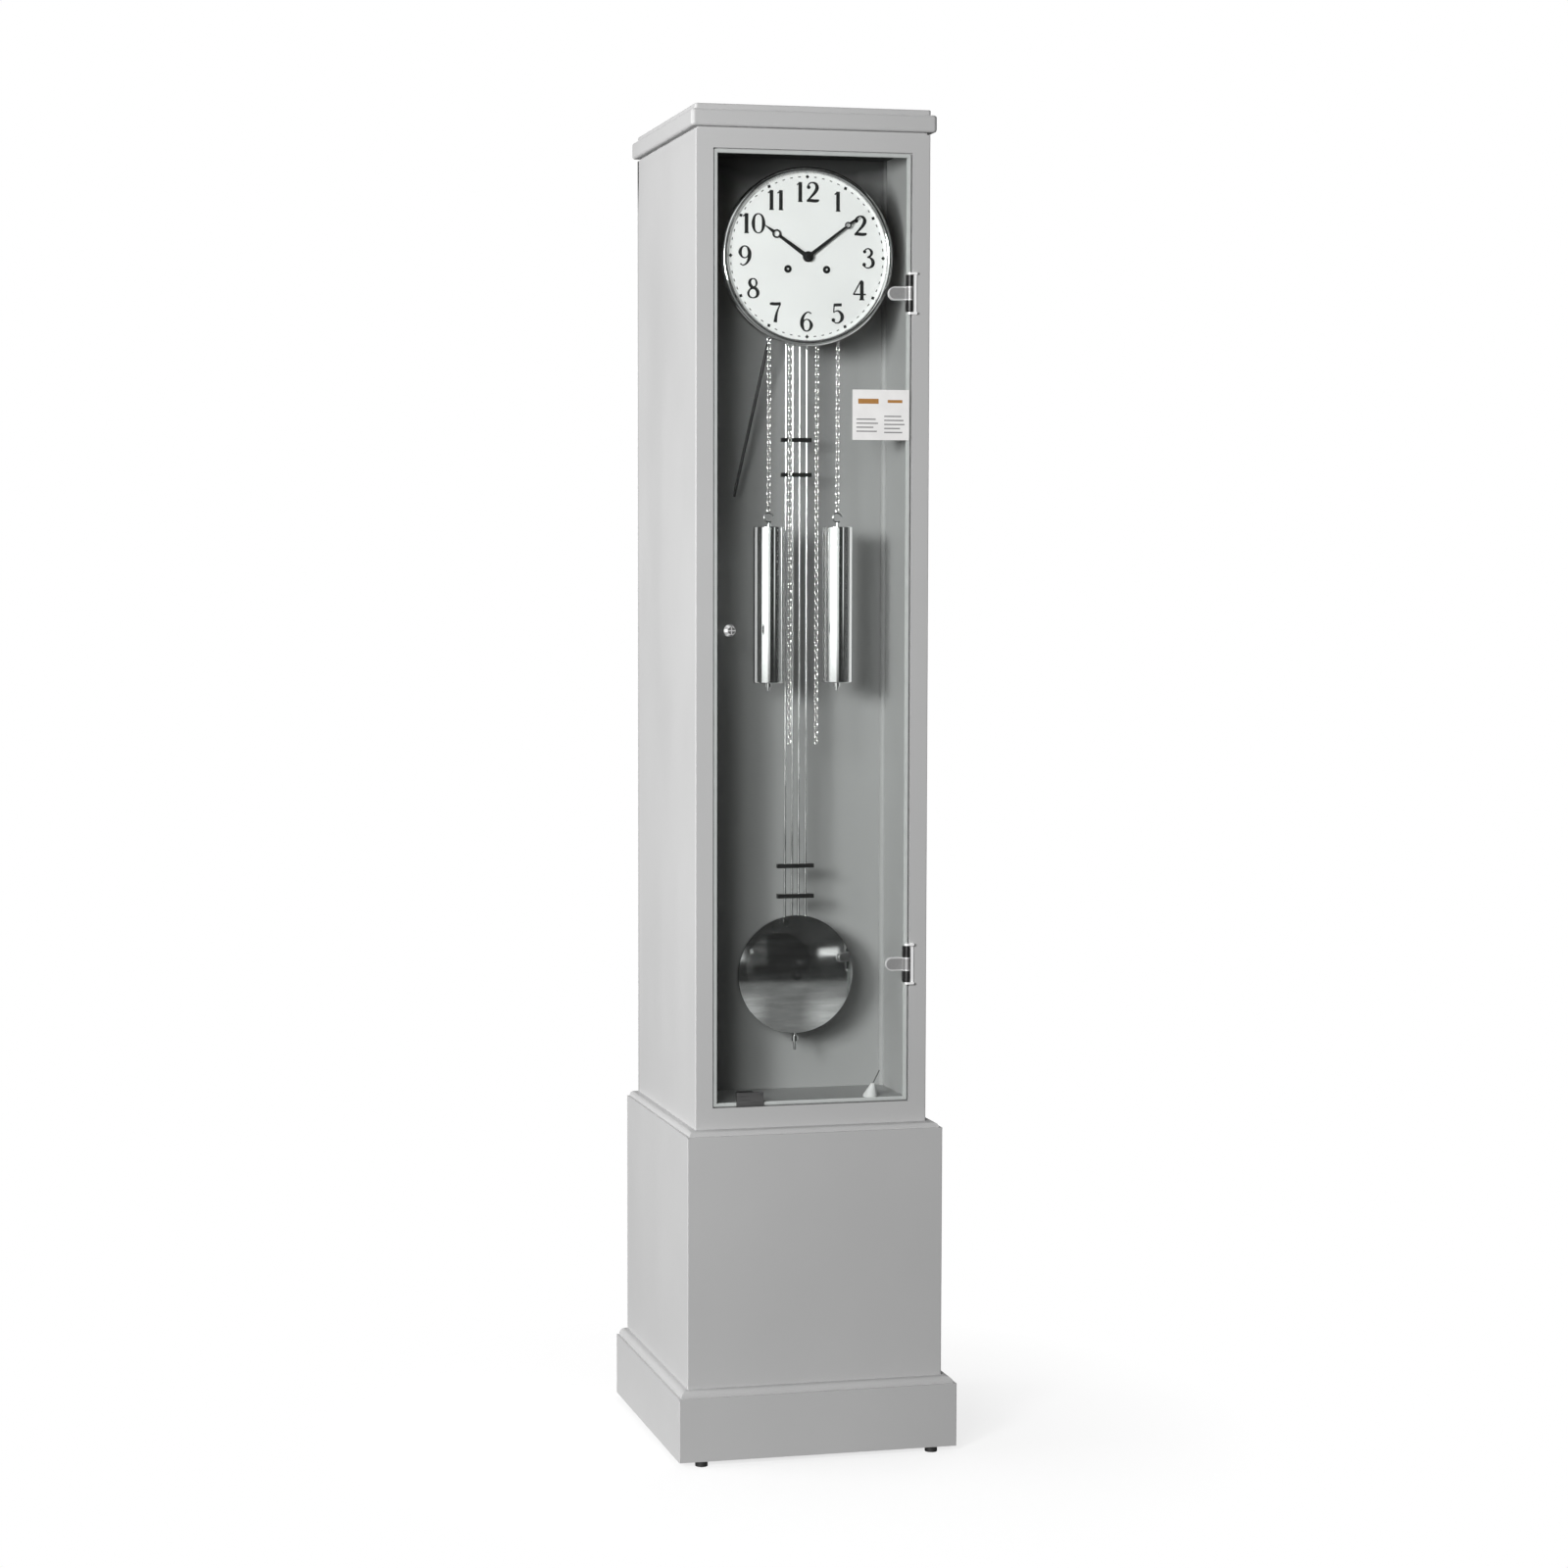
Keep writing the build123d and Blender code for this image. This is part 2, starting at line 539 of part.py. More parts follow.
with BuildPart() as anchor:
    with BuildSketch(Plane.XZ.offset(-(chain_y + 2.5))):
        with Locations((0, escape_z)):
            Circle(20.6)
            Circle(17.4, mode=Mode.SUBTRACT)
            with Locations((0, -13)):
                Rectangle(44, 50, mode=Mode.SUBTRACT)
        for side in (-1, 1):
            with Locations(Location((side * 12.9, escape_z + 12.6, 0), (0, 0, side * 45))):
                Rectangle(2.4, 3.2)
        with Locations((0, suspension_height)):
            Circle(4)
    extrude(amount=1.5)
    arbor(0, suspension_height, 1.8, *between)
    arbor(0, suspension_height, pivot_radius, front_plate_face, between[0])
    arbor(0, suspension_height, arbor_radius, between[1], back_plate_rear + 3)
    block(-2.2, 2.2, back_plate_rear + 1, back_plate_rear + 3, 1697, suspension_height)
    block(-4.6, 4.6, back_plate_rear + 1, back_plate_rear + 3, 1697, 1703)
    for x0, x1 in ((-4.6, -2.5), (2.5, 4.6)):
        block(x0, x1, back_plate_rear + 3, pendulum_y + 3, 1697, 1703)
anchor.part.label = "anchor"
export_step(anchor.part, "parts/anchor.step")

# ================================================================ motion work and hands
with BuildPart() as minute_wheel:
    toothed_disc(0, minute_wheel_z, 60, cannon_module, cannon_rear - 1.6, cannon_rear - 0.1, -90 + 3)
    toothed_disc(0, minute_wheel_z, 15, hour_module, cannon_rear - 6, cannon_rear - 1.6,
                 -90 + 12, pinion_addendum)
    arbor(0, minute_wheel_z, 1.5 + running_gap, cannon_rear - 6, cannon_rear - 0.1, Mode.SUBTRACT)
minute_wheel.part.label = "minute_wheel"
export_step(minute_wheel.part, "parts/minute_wheel.step")

hour_hand_y = dial_front - 3
minute_hand_y = dial_front - 5.2
with BuildPart() as hour_wheel:
    toothed_disc(0, dial_height, 60, hour_module, cannon_rear - 5, cannon_rear - 3.5, 90)
    arbor(0, dial_height, 3.6, hour_hand_y, cannon_rear - 2.5)
    arbor(0, dial_height, arbor_radius + running_gap, hour_hand_y, cannon_rear - 2.5, Mode.SUBTRACT)
hour_wheel.part.label = "hour_wheel"
export_step(hour_wheel.part, "parts/hour_wheel.step")


def hand(face_y, bearing, bore, ring_at, ring_radius, ring_hole, tip, root_width, neck_width):
    """A flat hand with a hollow ring near its tip, at a clock bearing in degrees from twelve."""
    turn = radians(bearing)
    across = (cos(turn), 0, -sin(turn))
    with BuildSketch(Plane((0, face_y, dial_height), x_dir=across, z_dir=(0, -1, 0))) as outline:
        Circle(hand_boss_radius)
        with BuildLine():
            Polyline((-root_width / 2, 0), (-neck_width / 2, ring_at), (neck_width / 2, ring_at),
                     (root_width / 2, 0), close=True)
        make_face()
        with BuildLine():
            Polyline((-neck_width * 0.8, ring_at), (-0.3, tip), (0.3, tip),
                     (neck_width * 0.8, ring_at), close=True)
        make_face()
        with Locations((0, ring_at)):
            Circle(ring_radius)
            Circle(ring_hole, mode=Mode.SUBTRACT)
        Circle(bore, mode=Mode.SUBTRACT)
    extrude(outline.sketch, amount=hand_thickness)


minute_bearing = minute_now * 6
hour_bearing = (hour_now + minute_now / 60) * 30
with BuildPart() as hour_hand:
    hand(hour_hand_y + hand_thickness, hour_bearing, 3.6, 55.5, 6.2, 4, 77.5, 6.4, 3.8)
hour_hand.part.label = "hour_hand"
export_step(hour_hand.part, "parts/hour_hand.step")

with BuildPart() as minute_hand:
    hand(minute_hand_y, minute_bearing, arbor_radius, 74, 4.8, 3, 97, 5, 3)
minute_hand.part.label = "minute_hand"
export_step(minute_hand.part, "parts/minute_hand.step")

with BuildPart() as hand_nut:
    arbor(0, dial_height, 4.2, minute_hand_y - hand_thickness - 2, minute_hand_y - hand_thickness)
    arbor(0, dial_height, 2, minute_hand_y - hand_thickness - 3, minute_hand_y - hand_thickness - 2)
hand_nut.part.label = "hand_nut"
export_step(hand_nut.part, "parts/hand_nut.step")

# ================================================================ strike train
mesh_strike = direction_angle(-great_x, great_z, pin_x, pin_z)
with BuildPart() as strike_great_wheel:
    toothed_disc(-great_x, great_z, great_teeth, great_module, chain_y + 8.5, chain_y + 10.5, mesh_strike)
    crossings(-great_x, great_z, 10, 32, chain_y + 8.5, chain_y + 10.5)
    running_arbor(-great_x, great_z, 2.5)
strike_great_wheel.part.label = "strike_great_wheel"
export_step(strike_great_wheel.part, "parts/strike_great_wheel.step")

mesh_fly = direction_angle(pin_x, pin_z, fly_x, fly_z)
with BuildPart() as pin_wheel:
    toothed_disc(pin_x, pin_z, leaves, great_module, chain_y + 7.5, chain_y + 11.5,
                 mesh_strike + pinion_turn, pinion_addendum)
    toothed_disc(pin_x, pin_z, third_teeth, third_module, chain_y - 1, chain_y + 0.5, mesh_fly)
    for pin in range(8):
        turn = radians(pin * 45)
        arbor(pin_x + 13 * cos(turn), pin_z + 13 * sin(turn), 0.8, chain_y + 0.5, chain_y + 3)
    running_arbor(pin_x, pin_z)
pin_wheel.part.label = "pin_wheel"
export_step(pin_wheel.part, "parts/pin_wheel.step")

with BuildPart() as fly_fan:
    toothed_disc(fly_x, fly_z, leaves, third_module, chain_y - 2, chain_y + 1.5,
                 mesh_fly + pinion_turn, pinion_addendum)
    running_arbor(fly_x, fly_z, 1.5)
    block(fly_x - 9, fly_x + 9, chain_y + 7, chain_y + 19, fly_z - 0.4, fly_z + 0.4)
fly_fan.part.label = "fly_fan"
export_step(fly_fan.part, "parts/fly_fan.step")

head_z = 1700
with BuildPart() as strike_hammer:
    arbor(hammer_x, hammer_z, 1.8, *between)
    arbor(hammer_x, hammer_z, pivot_radius, front_plate_face, between[0])
    arbor(hammer_x, hammer_z, arbor_radius, between[1], gong_y + 1.5)
    arbor(hammer_x, hammer_z, 4, gong_y - 1.5, gong_y + 1.5)
    block(hammer_x - 1.6, hammer_x + 1.6, chain_y + 1.2, chain_y + 2.6, hammer_z, 1708)
    with BuildSketch(Plane.XZ.offset(-(gong_y + 1.5))):
        with BuildLine():
            Polyline((hammer_x + 1.6, hammer_z - 1.6), (-26, head_z - 4), (-30, head_z),
                     (hammer_x - 1.6, hammer_z + 1.6), close=True)
        make_face()
    extrude(amount=3)
    with Locations(Location((-25, gong_y, head_z), (0, 90, 0))):
        Cylinder(6, 18)
strike_hammer.part.label = "strike_hammer"
export_step(strike_hammer.part, "parts/strike_hammer.step")

# ================================================================ chains, weights
sprocket_half, flange, flange_radius = 3.6, 1.2, 18
hole_ring, hole_radius = 8.5, 2
for node, side in (("sprocket_left", -1), ("sprocket_right", 1)):
    with BuildPart() as sprocket:
        x, z = side * chain_offset, sprocket_height
        y0, y1 = chain_y - sprocket_half, chain_y + sprocket_half
        arbor(x, z, 13.2, y0, y1)
        arbor(x, z, flange_radius, y0, y0 + flange)
        arbor(x, z, flange_radius, y1 - flange, y1)
        for hole in range(6):
            turn = radians(60 * hole)
            arbor(x + hole_ring * cos(turn), z + hole_ring * sin(turn), hole_radius, y0, y1, Mode.SUBTRACT)
        arbor(x, z, 2.5 + running_gap, y0, y1, Mode.SUBTRACT)
    sprocket.part.label = node
    export_step(sprocket.part, f"parts/{node}.step")

hook_height = weight_top + 13
hook_radius, hook_wire = 6.5, 1.4
for node, side in (("weight_left", -1), ("weight_right", 1)):
    with BuildPart() as weight:
        x = side * (chain_offset + sprocket_radius)
        post(x, chain_y, weight_radius, weight_bottom, weight_top)
        fillet(weight.edges().filter_by(GeomType.CIRCLE), 1.2)
        for groove in (weight_bottom + 4, weight_top - 4):
            with BuildSketch(Plane.XY.offset(groove - 0.3)):
                with Locations((x, chain_y)):
                    Circle(weight_radius)
                    Circle(weight_radius - 0.5, mode=Mode.SUBTRACT)
            extrude(amount=0.6, mode=Mode.SUBTRACT)
        post(x, chain_y, 4.5, weight_bottom - 6, weight_bottom)
        post(x, chain_y, 2.5, weight_bottom - 11, weight_bottom - 6)
        post(x, chain_y, 3, weight_top, weight_top + 3)
        post(x, chain_y, hook_wire, weight_top + 3, hook_height - hook_radius)
        with BuildSketch(Plane.XY.offset(hook_height)):
            with Locations((x + hook_radius, chain_y)):
                Circle(hook_wire)
        revolve(axis=Axis((x, chain_y, hook_height), (0, -1, 0)), revolution_arc=300)
    weight.part.label = node
    export_step(weight.part, f"parts/{node}.step")

strand_bottom = hook_height + hook_radius + hook_wire
for side_name, side in (("left", -1), ("right", 1)):
    with BuildPart() as chain_weight:
        x = side * (chain_offset + sprocket_radius)
        post(x, chain_y, chain_wire_radius, strand_bottom, sprocket_height)
        with BuildSketch(Plane.XY.offset(sprocket_height)):
            with Locations((x, chain_y)):
                Circle(chain_wire_radius)
        wheel_axis = Axis((side * chain_offset, chain_y, sprocket_height), (0, side, 0))
        revolve(axis=wheel_axis, revolution_arc=-180)
    chain_weight.part.label = f"chain_weight_{side_name}"
    export_step(chain_weight.part, f"parts/chain_weight_{side_name}.step")

    with BuildPart() as chain_free:
        x = side * (chain_offset - sprocket_radius)
        post(x, chain_y, chain_wire_radius, chain_free_end, sprocket_height)
    chain_free.part.label = f"chain_free_{side_name}"
    export_step(chain_free.part, f"parts/chain_free_{side_name}.step")

# ================================================================ pendulum
stud_radius, stud_end = 2, 572
leader_top = suspension_height - 28
highest_bar, lowest_bar = max(crossbar_heights), min(crossbar_heights)
with BuildPart() as suspension_spring:
    arbor(0, suspension_height, 1, cock_front + 0.1, cock_rear - 0.1)
    block(-0.15, 0.15, pendulum_y - 3, pendulum_y + 3, leader_top + 10, suspension_height)
    block(-5, 5, pendulum_y - 3, pendulum_y + 3, leader_top, leader_top + 10)
suspension_spring.part.label = "suspension_spring"
export_step(suspension_spring.part, "parts/suspension_spring.step")

rod_places = [side * spacing for spacing in rod_spacings for side in (-1, 1)]
rod_end = bob_height + 73
with BuildPart() as pendulum_rods:
    for x in rod_places:
        post(x, pendulum_y, rod_radius, rod_end, highest_bar + 3)
    post(0, pendulum_y, stud_radius, highest_bar + 3, leader_top)
    post(0, pendulum_y, stud_radius, stud_end, bob_height - 40)
pendulum_rods.part.label = "pendulum_rods"
export_step(pendulum_rods.part, "parts/pendulum_rods.step")

with BuildPart() as pendulum_crossbars:
    for height, width in crossbar_heights.items():
        block(-width / 2, width / 2, pendulum_y - 4.5, pendulum_y + 4.5, height - 3, height + 3)
        for x in rod_places:
            post(x, pendulum_y, rod_radius, height - 3, height + 3, Mode.SUBTRACT)
pendulum_crossbars.part.label = "pendulum_crossbars"
export_step(pendulum_crossbars.part, "parts/pendulum_crossbars.step")

with BuildPart() as pendulum_bob:
    with BuildSketch(Plane((0, pendulum_y, bob_height))):
        with BuildLine():
            half_rim = bob_rim / 2
            rise = bob_half_thickness - half_rim
            dome = (bob_radius ** 2 + rise ** 2) / (2 * rise)
            bulge = (bob_radius / 2, bob_half_thickness - dome + (dome ** 2 - bob_radius ** 2 / 4) ** 0.5)
            ThreePointArc((bob_radius, -half_rim), (bulge[0], -bulge[1]), (0, -bob_half_thickness))
            Line((0, -bob_half_thickness), (0, bob_half_thickness))
            ThreePointArc((0, bob_half_thickness), bulge, (bob_radius, half_rim))
            Line((bob_radius, half_rim), (bob_radius, -half_rim))
        make_face()
    revolve(axis=Axis((0, pendulum_y, bob_height), (0, 1, 0)))
    for x in rod_places:
        post(x, pendulum_y, rod_radius, rod_end, bob_height + bob_radius, Mode.SUBTRACT)
    post(0, pendulum_y, stud_radius, bob_height - bob_radius, bob_height - 40, Mode.SUBTRACT)
pendulum_bob.part.label = "pendulum_bob"
export_step(pendulum_bob.part, "parts/pendulum_bob.step")

nut_top = bob_height - bob_radius - 4
with BuildPart() as rating_nut:
    with BuildSketch(Plane.XY.offset(nut_top - 8)):
        with Locations((0, pendulum_y)):
            RegularPolygon(5, 16)
            Circle(stud_radius + running_gap, mode=Mode.SUBTRACT)
    extrude(amount=8)
rating_nut.part.label = "rating_nut"
export_step(rating_nut.part, "parts/rating_nut.step")
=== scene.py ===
"""Visual model of the grandfather clock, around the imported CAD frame.

Lengths are in metres, except in the outlines of the dial and the card, which are in mm.
"""
import json
from math import atan2, cos, pi, radians, sin

import bmesh
import bpy
from mathutils import Matrix, Vector
from mathutils.geometry import delaunay_2d_cdt


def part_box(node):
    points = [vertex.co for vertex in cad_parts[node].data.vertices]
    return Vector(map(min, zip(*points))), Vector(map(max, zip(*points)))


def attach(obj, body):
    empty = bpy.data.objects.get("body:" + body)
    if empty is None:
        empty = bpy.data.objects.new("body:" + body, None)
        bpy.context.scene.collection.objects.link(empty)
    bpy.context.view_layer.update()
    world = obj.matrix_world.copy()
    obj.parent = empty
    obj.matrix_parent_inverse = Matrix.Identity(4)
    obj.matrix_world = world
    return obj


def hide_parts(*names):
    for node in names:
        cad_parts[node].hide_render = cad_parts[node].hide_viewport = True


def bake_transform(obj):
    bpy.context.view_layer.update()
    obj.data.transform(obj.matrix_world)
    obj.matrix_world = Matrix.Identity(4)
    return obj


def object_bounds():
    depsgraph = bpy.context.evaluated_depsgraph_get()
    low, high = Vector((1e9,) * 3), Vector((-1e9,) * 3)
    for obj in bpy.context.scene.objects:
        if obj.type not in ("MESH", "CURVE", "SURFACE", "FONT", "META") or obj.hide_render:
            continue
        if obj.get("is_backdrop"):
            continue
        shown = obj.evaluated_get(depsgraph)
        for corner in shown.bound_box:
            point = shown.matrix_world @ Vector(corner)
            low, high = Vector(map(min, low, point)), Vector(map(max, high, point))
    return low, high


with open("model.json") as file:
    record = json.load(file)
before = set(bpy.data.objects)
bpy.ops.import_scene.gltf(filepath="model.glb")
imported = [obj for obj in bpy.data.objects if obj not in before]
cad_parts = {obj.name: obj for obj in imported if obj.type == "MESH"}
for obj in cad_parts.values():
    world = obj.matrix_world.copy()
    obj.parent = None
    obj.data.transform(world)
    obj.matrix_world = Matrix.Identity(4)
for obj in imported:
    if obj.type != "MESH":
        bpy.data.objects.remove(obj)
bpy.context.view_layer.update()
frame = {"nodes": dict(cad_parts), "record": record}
scene = bpy.context.scene
scene.view_settings.view_transform = "Standard"
MM = 0.001
UP = Vector((0, 0, 1))
BACKWARD = Vector((0, 1, 0))
GLASS_BEVEL = 4.8 * MM
KNOB_FACETS, KNOB_FACE_RADIUS, KNOB_SLOT_HALF = 12, 5.2 * MM, 0.7 * MM
HINGE_HALF, TAB_CENTRE, TAB_RADIUS, TAB_EDGE_RADIUS = 26 * MM, 9.5 * MM, 9.7 * MM, 7.9 * MM
EYELET_RADIUS, EYELET_PIN_RADIUS = 5.4 * MM, 1.3 * MM
# heights over which the inside paint turns dark, as painted shade under the top
SHADE_PAINT_FROM, SHADE_PAINT_TO = 1.80, 1.85

# ---------------------------------------------------------------- camera
CAMERA_AT = (-1.251, -4.368, 1.251)
CAMERA_TURN, CAMERA_TILT, CAMERA_ROLL = -12.37, -3.72, -0.11
camera = bpy.data.objects.new("camera", bpy.data.cameras.new("camera"))
scene.collection.objects.link(camera)
camera.matrix_world = (Matrix.Translation(CAMERA_AT)
                       @ Matrix.Rotation(radians(CAMERA_TURN), 4, "Z")
                       @ Matrix.Rotation(radians(90 + CAMERA_TILT), 4, "X")
                       @ Matrix.Rotation(radians(CAMERA_ROLL), 4, "Z"))
camera.data.sensor_width = 36
camera.data.lens = 70.9
camera.data.shift_x = 0.125
scene.camera = camera


# ---------------------------------------------------------------- material nodes
class Graph:
    """Short calls for the nodes of one node tree. A value is a number or the output of a node."""

    def __init__(self, tree):
        self.tree = tree

    def put(self, value, socket):
        if isinstance(value, bpy.types.NodeSocket):
            self.tree.links.new(value, socket)
        else:
            socket.default_value = value

    def node(self, kind, settings=None, **inputs):
        made = self.tree.nodes.new(kind)
        for key, value in (settings or {}).items():
            setattr(made, key, value)
        for key, value in inputs.items():
            self.put(value, made.inputs[key.replace("_", " ")])
        return made

    def ramp(self, value, low, high, to_low=0.0, to_high=1.0):
        made = self.node("ShaderNodeMapRange", Value=value)
        for index, number in zip((1, 2, 3, 4), (low, high, to_low, to_high)):
            made.inputs[index].default_value = number
        return made.outputs["Result"]

    def band(self, value, low, high, soft):
        """1 between low and high, fading to 0 over soft on each side."""
        rise = self.ramp(value, low - soft, low)
        fall = self.ramp(value, high, high + soft, 1.0, 0.0)
        return self.maths("MULTIPLY", rise, fall)

    def maths(self, operation, a, b=0.0):
        made = self.node("ShaderNodeMath", {"operation": operation})
        self.put(a, made.inputs[0])
        self.put(b, made.inputs[1])
        return made.outputs[0]

    def distance(self, a, b):
        """The length of a line that goes a one way and b square to it."""
        squares = self.maths("ADD", self.maths("MULTIPLY", a, a), self.maths("MULTIPLY", b, b))
        return self.maths("POWER", squares, 0.5)

    def either(self, factor, a, b):
        """Shader a where factor is 0 and shader b where it is 1."""
        made = self.tree.nodes.new("ShaderNodeMixShader")
        for value, socket in zip((factor, a, b), made.inputs):
            self.put(value, socket)
        return made.outputs[0]


class Shader(Graph):
    """A material with a Principled shader."""

    def __init__(self, name, **values):
        self.material = bpy.data.materials.new(name)
        self.material.use_nodes = True
        super().__init__(self.material.node_tree)
        self.main = self.tree.nodes["Principled BSDF"]
        self.place = self.tree.nodes.new("ShaderNodeTexCoord").outputs["Object"]
        for socket, value in values.items():
            self.set(socket.replace("_", " "), value)

    def set(self, socket, value):
        self.put(value, self.main.inputs[socket])

    def surface(self, shader):
        self.tree.links.new(shader, self.tree.nodes["Material Output"].inputs["Surface"])

    def noise(self, scale, detail=3.0, stretch=(1, 1, 1), rough=0.5):
        at = self.node("ShaderNodeMapping", Vector=self.place, Scale=stretch).outputs["Vector"]
        return self.node("ShaderNodeTexNoise", Vector=at, Scale=scale, Detail=detail,
                         Roughness=rough).outputs["Fac"]

    def spread(self, noise, low=0.0, high=1.0):
        """The middle of a noise's own range, stretched from low to high."""
        return self.ramp(noise, 0.3, 0.7, low, high)

    def colours(self, factor, a, b):
        made = self.node("ShaderNodeMix", {"data_type": "RGBA"})
        for index, value in ((0, factor), (6, a), (7, b)):
            self.put(value, made.inputs[index])
        return made.outputs[2]

    def bump(self, height, distance, strength=1.0, normal=None):
        made = self.node("ShaderNodeBump", Height=height, Distance=distance, Strength=strength)
        if normal is not None:
            self.tree.links.new(normal, made.inputs["Normal"])
        self.set("Normal", made.outputs["Normal"])
        return made.outputs["Normal"]

    def axis(self, name):
        return self.node("ShaderNodeSeparateXYZ", Vector=self.place).outputs[name]

    def off_centre(self, name, low, high):
        """How far a point is from the middle of a box along one axis."""
        index = "XYZ".index(name)
        return self.maths("SUBTRACT", self.axis(name), (low[index] + high[index]) / 2)


def grey(value, warmth=0.0):
    return (value * (1 + warmth), value, value * (1 - warmth), 1.0)


def lacquer(name, tone, gloss_low, gloss_high, coat):
    """Sprayed paint: faint clouding, orange peel, and a slightly uneven gloss."""
    s = Shader(name, Coat_Weight=coat, Coat_Roughness=0.25, Specular_IOR_Level=0.3)
    cloud = s.noise(2.6, 4)
    s.set("Base Color", s.colours(s.spread(cloud), grey(tone * 0.965), grey(tone * 1.03)))
    s.set("Roughness", s.spread(s.noise(9, 5, (1, 1, 0.35)), gloss_low, gloss_high))
    grain = s.bump(s.noise(70, 3, (1, 1, 0.08)), 0.06 * MM, 0.5)
    s.bump(s.noise(420, 2), 0.04 * MM, 0.6, grain)
    return s


def inner_lacquer():
    """The inside is matt, with painted shade: its colour turns near black up under the top, where the top
    shades it.
    """
    s = lacquer("inner_lacquer", 0.36, 0.45, 0.6, 0.0)
    paint = s.main.inputs["Base Color"].links[0].from_socket
    uneven = s.spread(s.noise(12, 3), -0.01, 0.01)
    # painted shade: near black from about 1.80 m up, with a ragged lower edge, standing in for the shadow
    # under the top
    painted_shade = s.ramp(s.maths("ADD", s.axis("Z"), uneven), SHADE_PAINT_FROM, SHADE_PAINT_TO)
    s.set("Base Color", s.colours(painted_shade, paint, grey(0.05)))
    return s.material


def polished(name, tone, rough_low, rough_high, warmth=0.0):
    """Plated or polished metal with faint handling marks in its gloss."""
    s = Shader(name, Metallic=1.0)
    cloud = s.spread(s.noise(11, 3))
    s.set("Base Color", s.colours(cloud, grey(tone * 0.95, warmth), grey(tone, warmth)))
    s.set("Roughness", s.ramp(s.noise(34, 6, rough=0.65), 0.35, 0.75, rough_low, rough_high))
    return s.material


def brushed(name, tone, rough, along, warmth=0.0):
    """Metal with fine parallel scratches along one axis."""
    stretch = [1.0, 1.0, 1.0]
    stretch["XYZ".index(along)] = 0.03
    s = Shader(name, Metallic=1.0)
    scratch = s.noise(900, 4, stretch)
    s.set("Base Color", s.colours(scratch, grey(tone * 0.8, warmth), grey(tone * 1.1, warmth)))
    s.set("Roughness", s.spread(scratch, rough * 0.75, rough * 1.3))
    s.bump(scratch, 0.02 * MM, 0.5)
    return s.material


def painted(name, tone, rough, texture_scale, depth, coat=0.0):
    """Opaque paint or moulding with a fine surface texture."""
    s = Shader(name, Coat_Weight=coat)
    fine = s.noise(texture_scale, 4)
    s.set("Base Color", s.colours(s.spread(fine), grey(tone * 0.85), grey(tone * 1.15)))
    s.set("Roughness", s.spread(s.noise(60, 4), rough * 0.85, rough * 1.2))
    s.bump(fine, depth, 0.6)
    return s.material


def glass():
    """A clear pane that mirrors by angle and lets lamps through, with a satin bevel round its rim."""
    s = Shader("door_glass", Roughness=0.4)
    s.set("Base Color", s.colours(s.noise(60, 4), (0.46, 0.48, 0.47, 1), (0.58, 0.60, 0.59, 1)))
    grazing = s.maths("POWER", s.node("ShaderNodeLayerWeight", Blend=0.5).outputs["Facing"], 5.0)
    smudge = s.ramp(s.noise(7, 5), 0.4, 0.75, 0.0, 0.05)
    mirror = s.node("ShaderNodeBsdfGlossy", Color=(1, 1, 1, 1), Roughness=smudge).outputs[0]
    clear = s.node("ShaderNodeBsdfTransparent", Color=(0.975, 0.985, 0.98, 1)).outputs[0]
    pane = s.either(s.ramp(grazing, 0.0, 1.0, 0.04, 1.0), clear, mirror)
    low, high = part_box("door_glass")
    rim = None
    for name, index in (("X", 0), ("Z", 2)):
        reach = (high[index] - low[index]) / 2 - GLASS_BEVEL
        off = s.maths("GREATER_THAN", s.maths("ABSOLUTE", s.off_centre(name, low, high)), reach)
        rim = off if rim is None else s.maths("MAXIMUM", rim, off)
    ground = s.either(0.25, s.main.outputs[0], clear)
    s.surface(s.either(rim, pane, ground))
    return s.material


def hinge_metal():
    """Satin black knuckles with a nickel strap that runs on over the glass as a round tab, with a painted
    highlight as a light ring round the tab's rim.
    """
    s = Shader("hinge_black")
    low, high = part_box("hinge_clamps")
    half = (high.z - low.z) / 2 - HINGE_HALF
    level = s.maths("ABSOLUTE", s.off_centre("Z", low, high))
    rise = s.maths("SUBTRACT", level, half)
    past = s.maths("MINIMUM", s.maths("SUBTRACT", s.axis("X"), low.x + TAB_CENTRE), 0.0)
    off = s.distance(rise, past)
    strap = s.maths("LESS_THAN", off, TAB_RADIUS)
    # painted highlight: a light ring round the rim of the tab, where its edge would catch the light
    edge = s.maths("MULTIPLY", strap, s.maths("GREATER_THAN", off, TAB_EDGE_RADIUS))
    black = s.colours(s.noise(500, 3), grey(0.006), grey(0.012))
    tab = s.colours(s.noise(300, 3), grey(0.26), grey(0.34))
    s.set("Base Color", s.colours(edge, s.colours(strap, black, tab), grey(0.66)))
    s.set("Metallic", s.maths("MULTIPLY", strap, 0.3))
    s.set("Roughness", s.spread(s.noise(120, 4), 0.36, 0.5))
    return s.material


